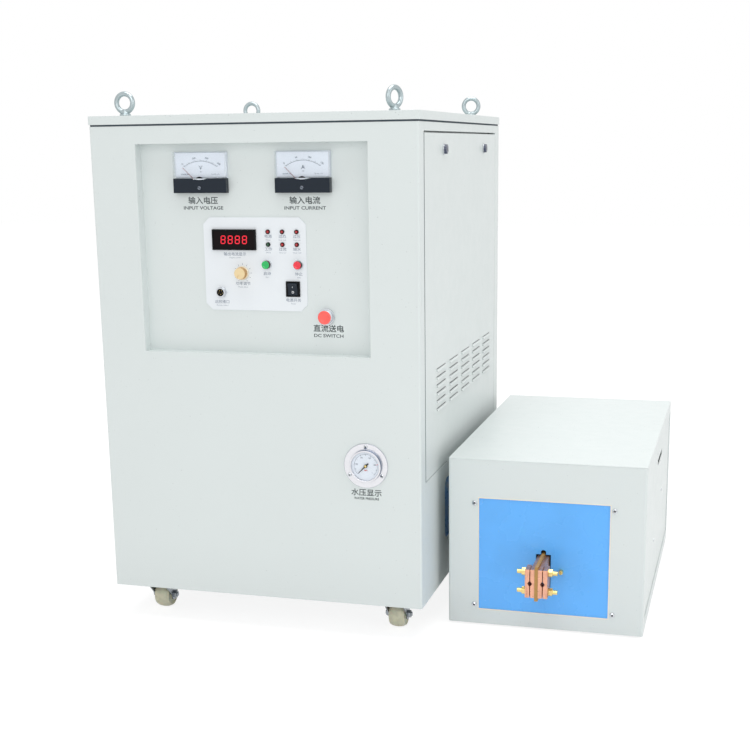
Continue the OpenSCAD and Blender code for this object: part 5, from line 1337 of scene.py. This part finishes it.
class MACHINE_OT_captions(Operator):
    """Prints the captions under the meters, the large button and the gauge"""
    bl_idname = "machine.captions"
    bl_label = "Captions"

    def execute(self, context):
        drawn("panel_captions", "ink", "instrument_panel", self.words)
        return {"FINISHED"}

    def words(self, bm):
        floor_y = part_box("control_plate")[1].y
        meter_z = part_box("meter_cases")[0].z - 14.2 * MM
        self.caption(bm, (PIVOT["voltmeter_swing"].x, floor_y, meter_z), "输入电压", "INPUT VOLTAGE")
        self.caption(bm, (PIVOT["ammeter_swing"].x, floor_y, meter_z), "输入电流", "INPUT CURRENT")
        button = middle(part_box("dc_button"))
        self.caption(bm, (button.x + 3 * MM, floor_y, button.z - 21.5 * MM), "直流送电", "DC SWITCH")
        gauge = middle(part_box("gauge_case"))
        self.caption(bm, (gauge.x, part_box("front_panel")[0].y, gauge.z - 49.7 * MM), "水压显示",
                     "WATER PRESSURE", share=0.76, spacing=0.86, stretch=0.94)

    def caption(self, bm, at, sign, word, share=1.0, spacing=1.02, stretch=1.25):
        """A line of characters with its word below, in a share of the usual height."""
        s = sizes()
        place = facing(at)
        write(bm, sign, place, s.sign_h * SIGN_SHARE, weight=0.2 * MM, stretch=1.06)
        write(bm, word, shifted(place, y=-s.sign_h * spacing), s.word_h * share, weight=0.14 * MM,
              stretch=stretch)


class MACHINE_OT_head_case(Operator):
    """Finishes the heating head's case and feet"""
    bl_idname = "machine.head_case"
    bl_label = "Heating head"

    def execute(self, context):
        for node in ("head_chassis", "head_cover", "head_side_covers"):
            finished(node, "powder_coat")
        finished("terminal_board", "blue", width=0.4 * MM)
        # The side board's blue is darkened as painted shade.
        finished("output_board", "blue_painted_shade", width=0.4 * MM)
        finished("head_feet", "rubber", width=0.8 * MM)
        drawn("opening_edge", "cut_edge", "head_chassis", self.edge)
        return {"FINISHED"}

    def edge(self, bm):
        """Bare cut edge of the sheet round the blue board's opening."""
        low, high = self.opening()
        wide, tall, line, proud = high.x - low.x, high.z - low.z, 1.9 * MM, 0.15 * MM
        for x0, y0, x1, y1 in ((-line, -line, wide + line, 0), (-line, tall, wide + line, tall + line),
                               (-line, 0, 0, tall), (wide, 0, wide + line, tall)):
            bar(bm, facing(low), (x0, y0, 0), (x1, y1, proud))

    def opening(self):
        """Lowest and highest corners of the opening, read from the sheet's own inner edges."""
        front_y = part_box("head_chassis")[0].y
        centre, inside, near = middle(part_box("terminal_board")), 60 * MM, 0.1 * MM
        sheet = [v.co for v in NODES["head_chassis"].data.vertices if v.co.y < front_y + near]
        left = max(co.x for co in sheet if co.x < centre.x - inside)
        right = min(co.x for co in sheet if co.x > centre.x + inside)
        heights = [co.z for co in sheet if left - near < co.x < right + near]
        bottom = max(z for z in heights if z < centre.z - inside)
        top = min(z for z in heights if z > centre.z + inside)
        return Vector((left, front_y, bottom)), Vector((right, front_y, top))


class MACHINE_OT_output_terminal(Operator):
    """Finishes the coil clamp: bars, jaws, insulation and threaded studs"""
    bl_idname = "machine.output_terminal"
    bl_label = "Output terminal"

    def execute(self, context):
        finished("output_bars", "copper")
        finished("clamp_jaws", "copper")
        finished("insulation_sheet", "laminate", width=0.3 * MM)
        for node in ("clamp_studs", "output_terminals"):
            finished(node, "brass", width=0.4 * MM, steepest=25)
        return {"FINISHED"}


class MACHINE_OT_insides(Operator):
    """Finishes what the open side panel and the vents show"""
    bl_idname = "machine.insides"
    bl_label = "Insides"

    def execute(self, context):
        for node, material in (("control_board", "board"), ("cooling_plate", "alloy"),
                               ("power_modules", "resin"), ("capacitor_bank", "alloy"),
                               ("water_manifold", "brass"), ("mains_gland", "black"),
                               ("output_transformer", "ferrite"), ("tank_capacitors", "resin"),
                               ("head_hose_tails", "brass")):
            finished(node, material)
        return {"FINISHED"}


class MACHINE_PT_panel(Panel):
    """Lists the machine's pieces in the sidebar"""
    bl_label = "Induction heating machine"
    bl_space_type = "VIEW_3D"
    bl_region_type = "UI"
    bl_category = "Machine"

    def draw(self, context):
        column = self.layout.column()
        for operator in OPERATORS:
            column.operator(operator.bl_idname)
        scene = context.scene
        for group in (scene.machine_colours, scene.machine_sizes, scene.machine_studio):
            for name in group.bl_rna.properties.keys():
                if name not in ("rna_type", "name"):
                    column.prop(group, name)


OPERATORS = (MACHINE_OT_stage, MACHINE_OT_cabinet, MACHINE_OT_panel_locks, MACHINE_OT_lifting_eyes,
             MACHINE_OT_casters, MACHINE_OT_screws, MACHINE_OT_meters, MACHINE_OT_control_plate,
             MACHINE_OT_display, MACHINE_OT_lamps, MACHINE_OT_buttons, MACHINE_OT_knob, MACHINE_OT_rocker,
             MACHINE_OT_remote_socket, MACHINE_OT_gauge, MACHINE_OT_captions, MACHINE_OT_head_case,
             MACHINE_OT_output_terminal, MACHINE_OT_insides)
CLASSES = (MachineColours, MachineSizes, StudioSettings, *OPERATORS, MACHINE_PT_panel)


def register():
    for cls in CLASSES:
        bpy.utils.register_class(cls)
    bpy.types.Scene.machine_colours = PointerProperty(type=MachineColours)
    bpy.types.Scene.machine_sizes = PointerProperty(type=MachineSizes)
    bpy.types.Scene.machine_studio = PointerProperty(type=StudioSettings)


def unregister():
    del bpy.types.Scene.machine_studio
    del bpy.types.Scene.machine_sizes
    del bpy.types.Scene.machine_colours
    for cls in reversed(CLASSES):
        bpy.utils.unregister_class(cls)


def main():
    register()
    bpy.context.scene.view_settings.view_transform = "Standard"
    for operator in OPERATORS:
        group, name = operator.bl_idname.split(".")
        getattr(getattr(bpy.ops, group), name)()


if __name__ == "__main__":
    main()
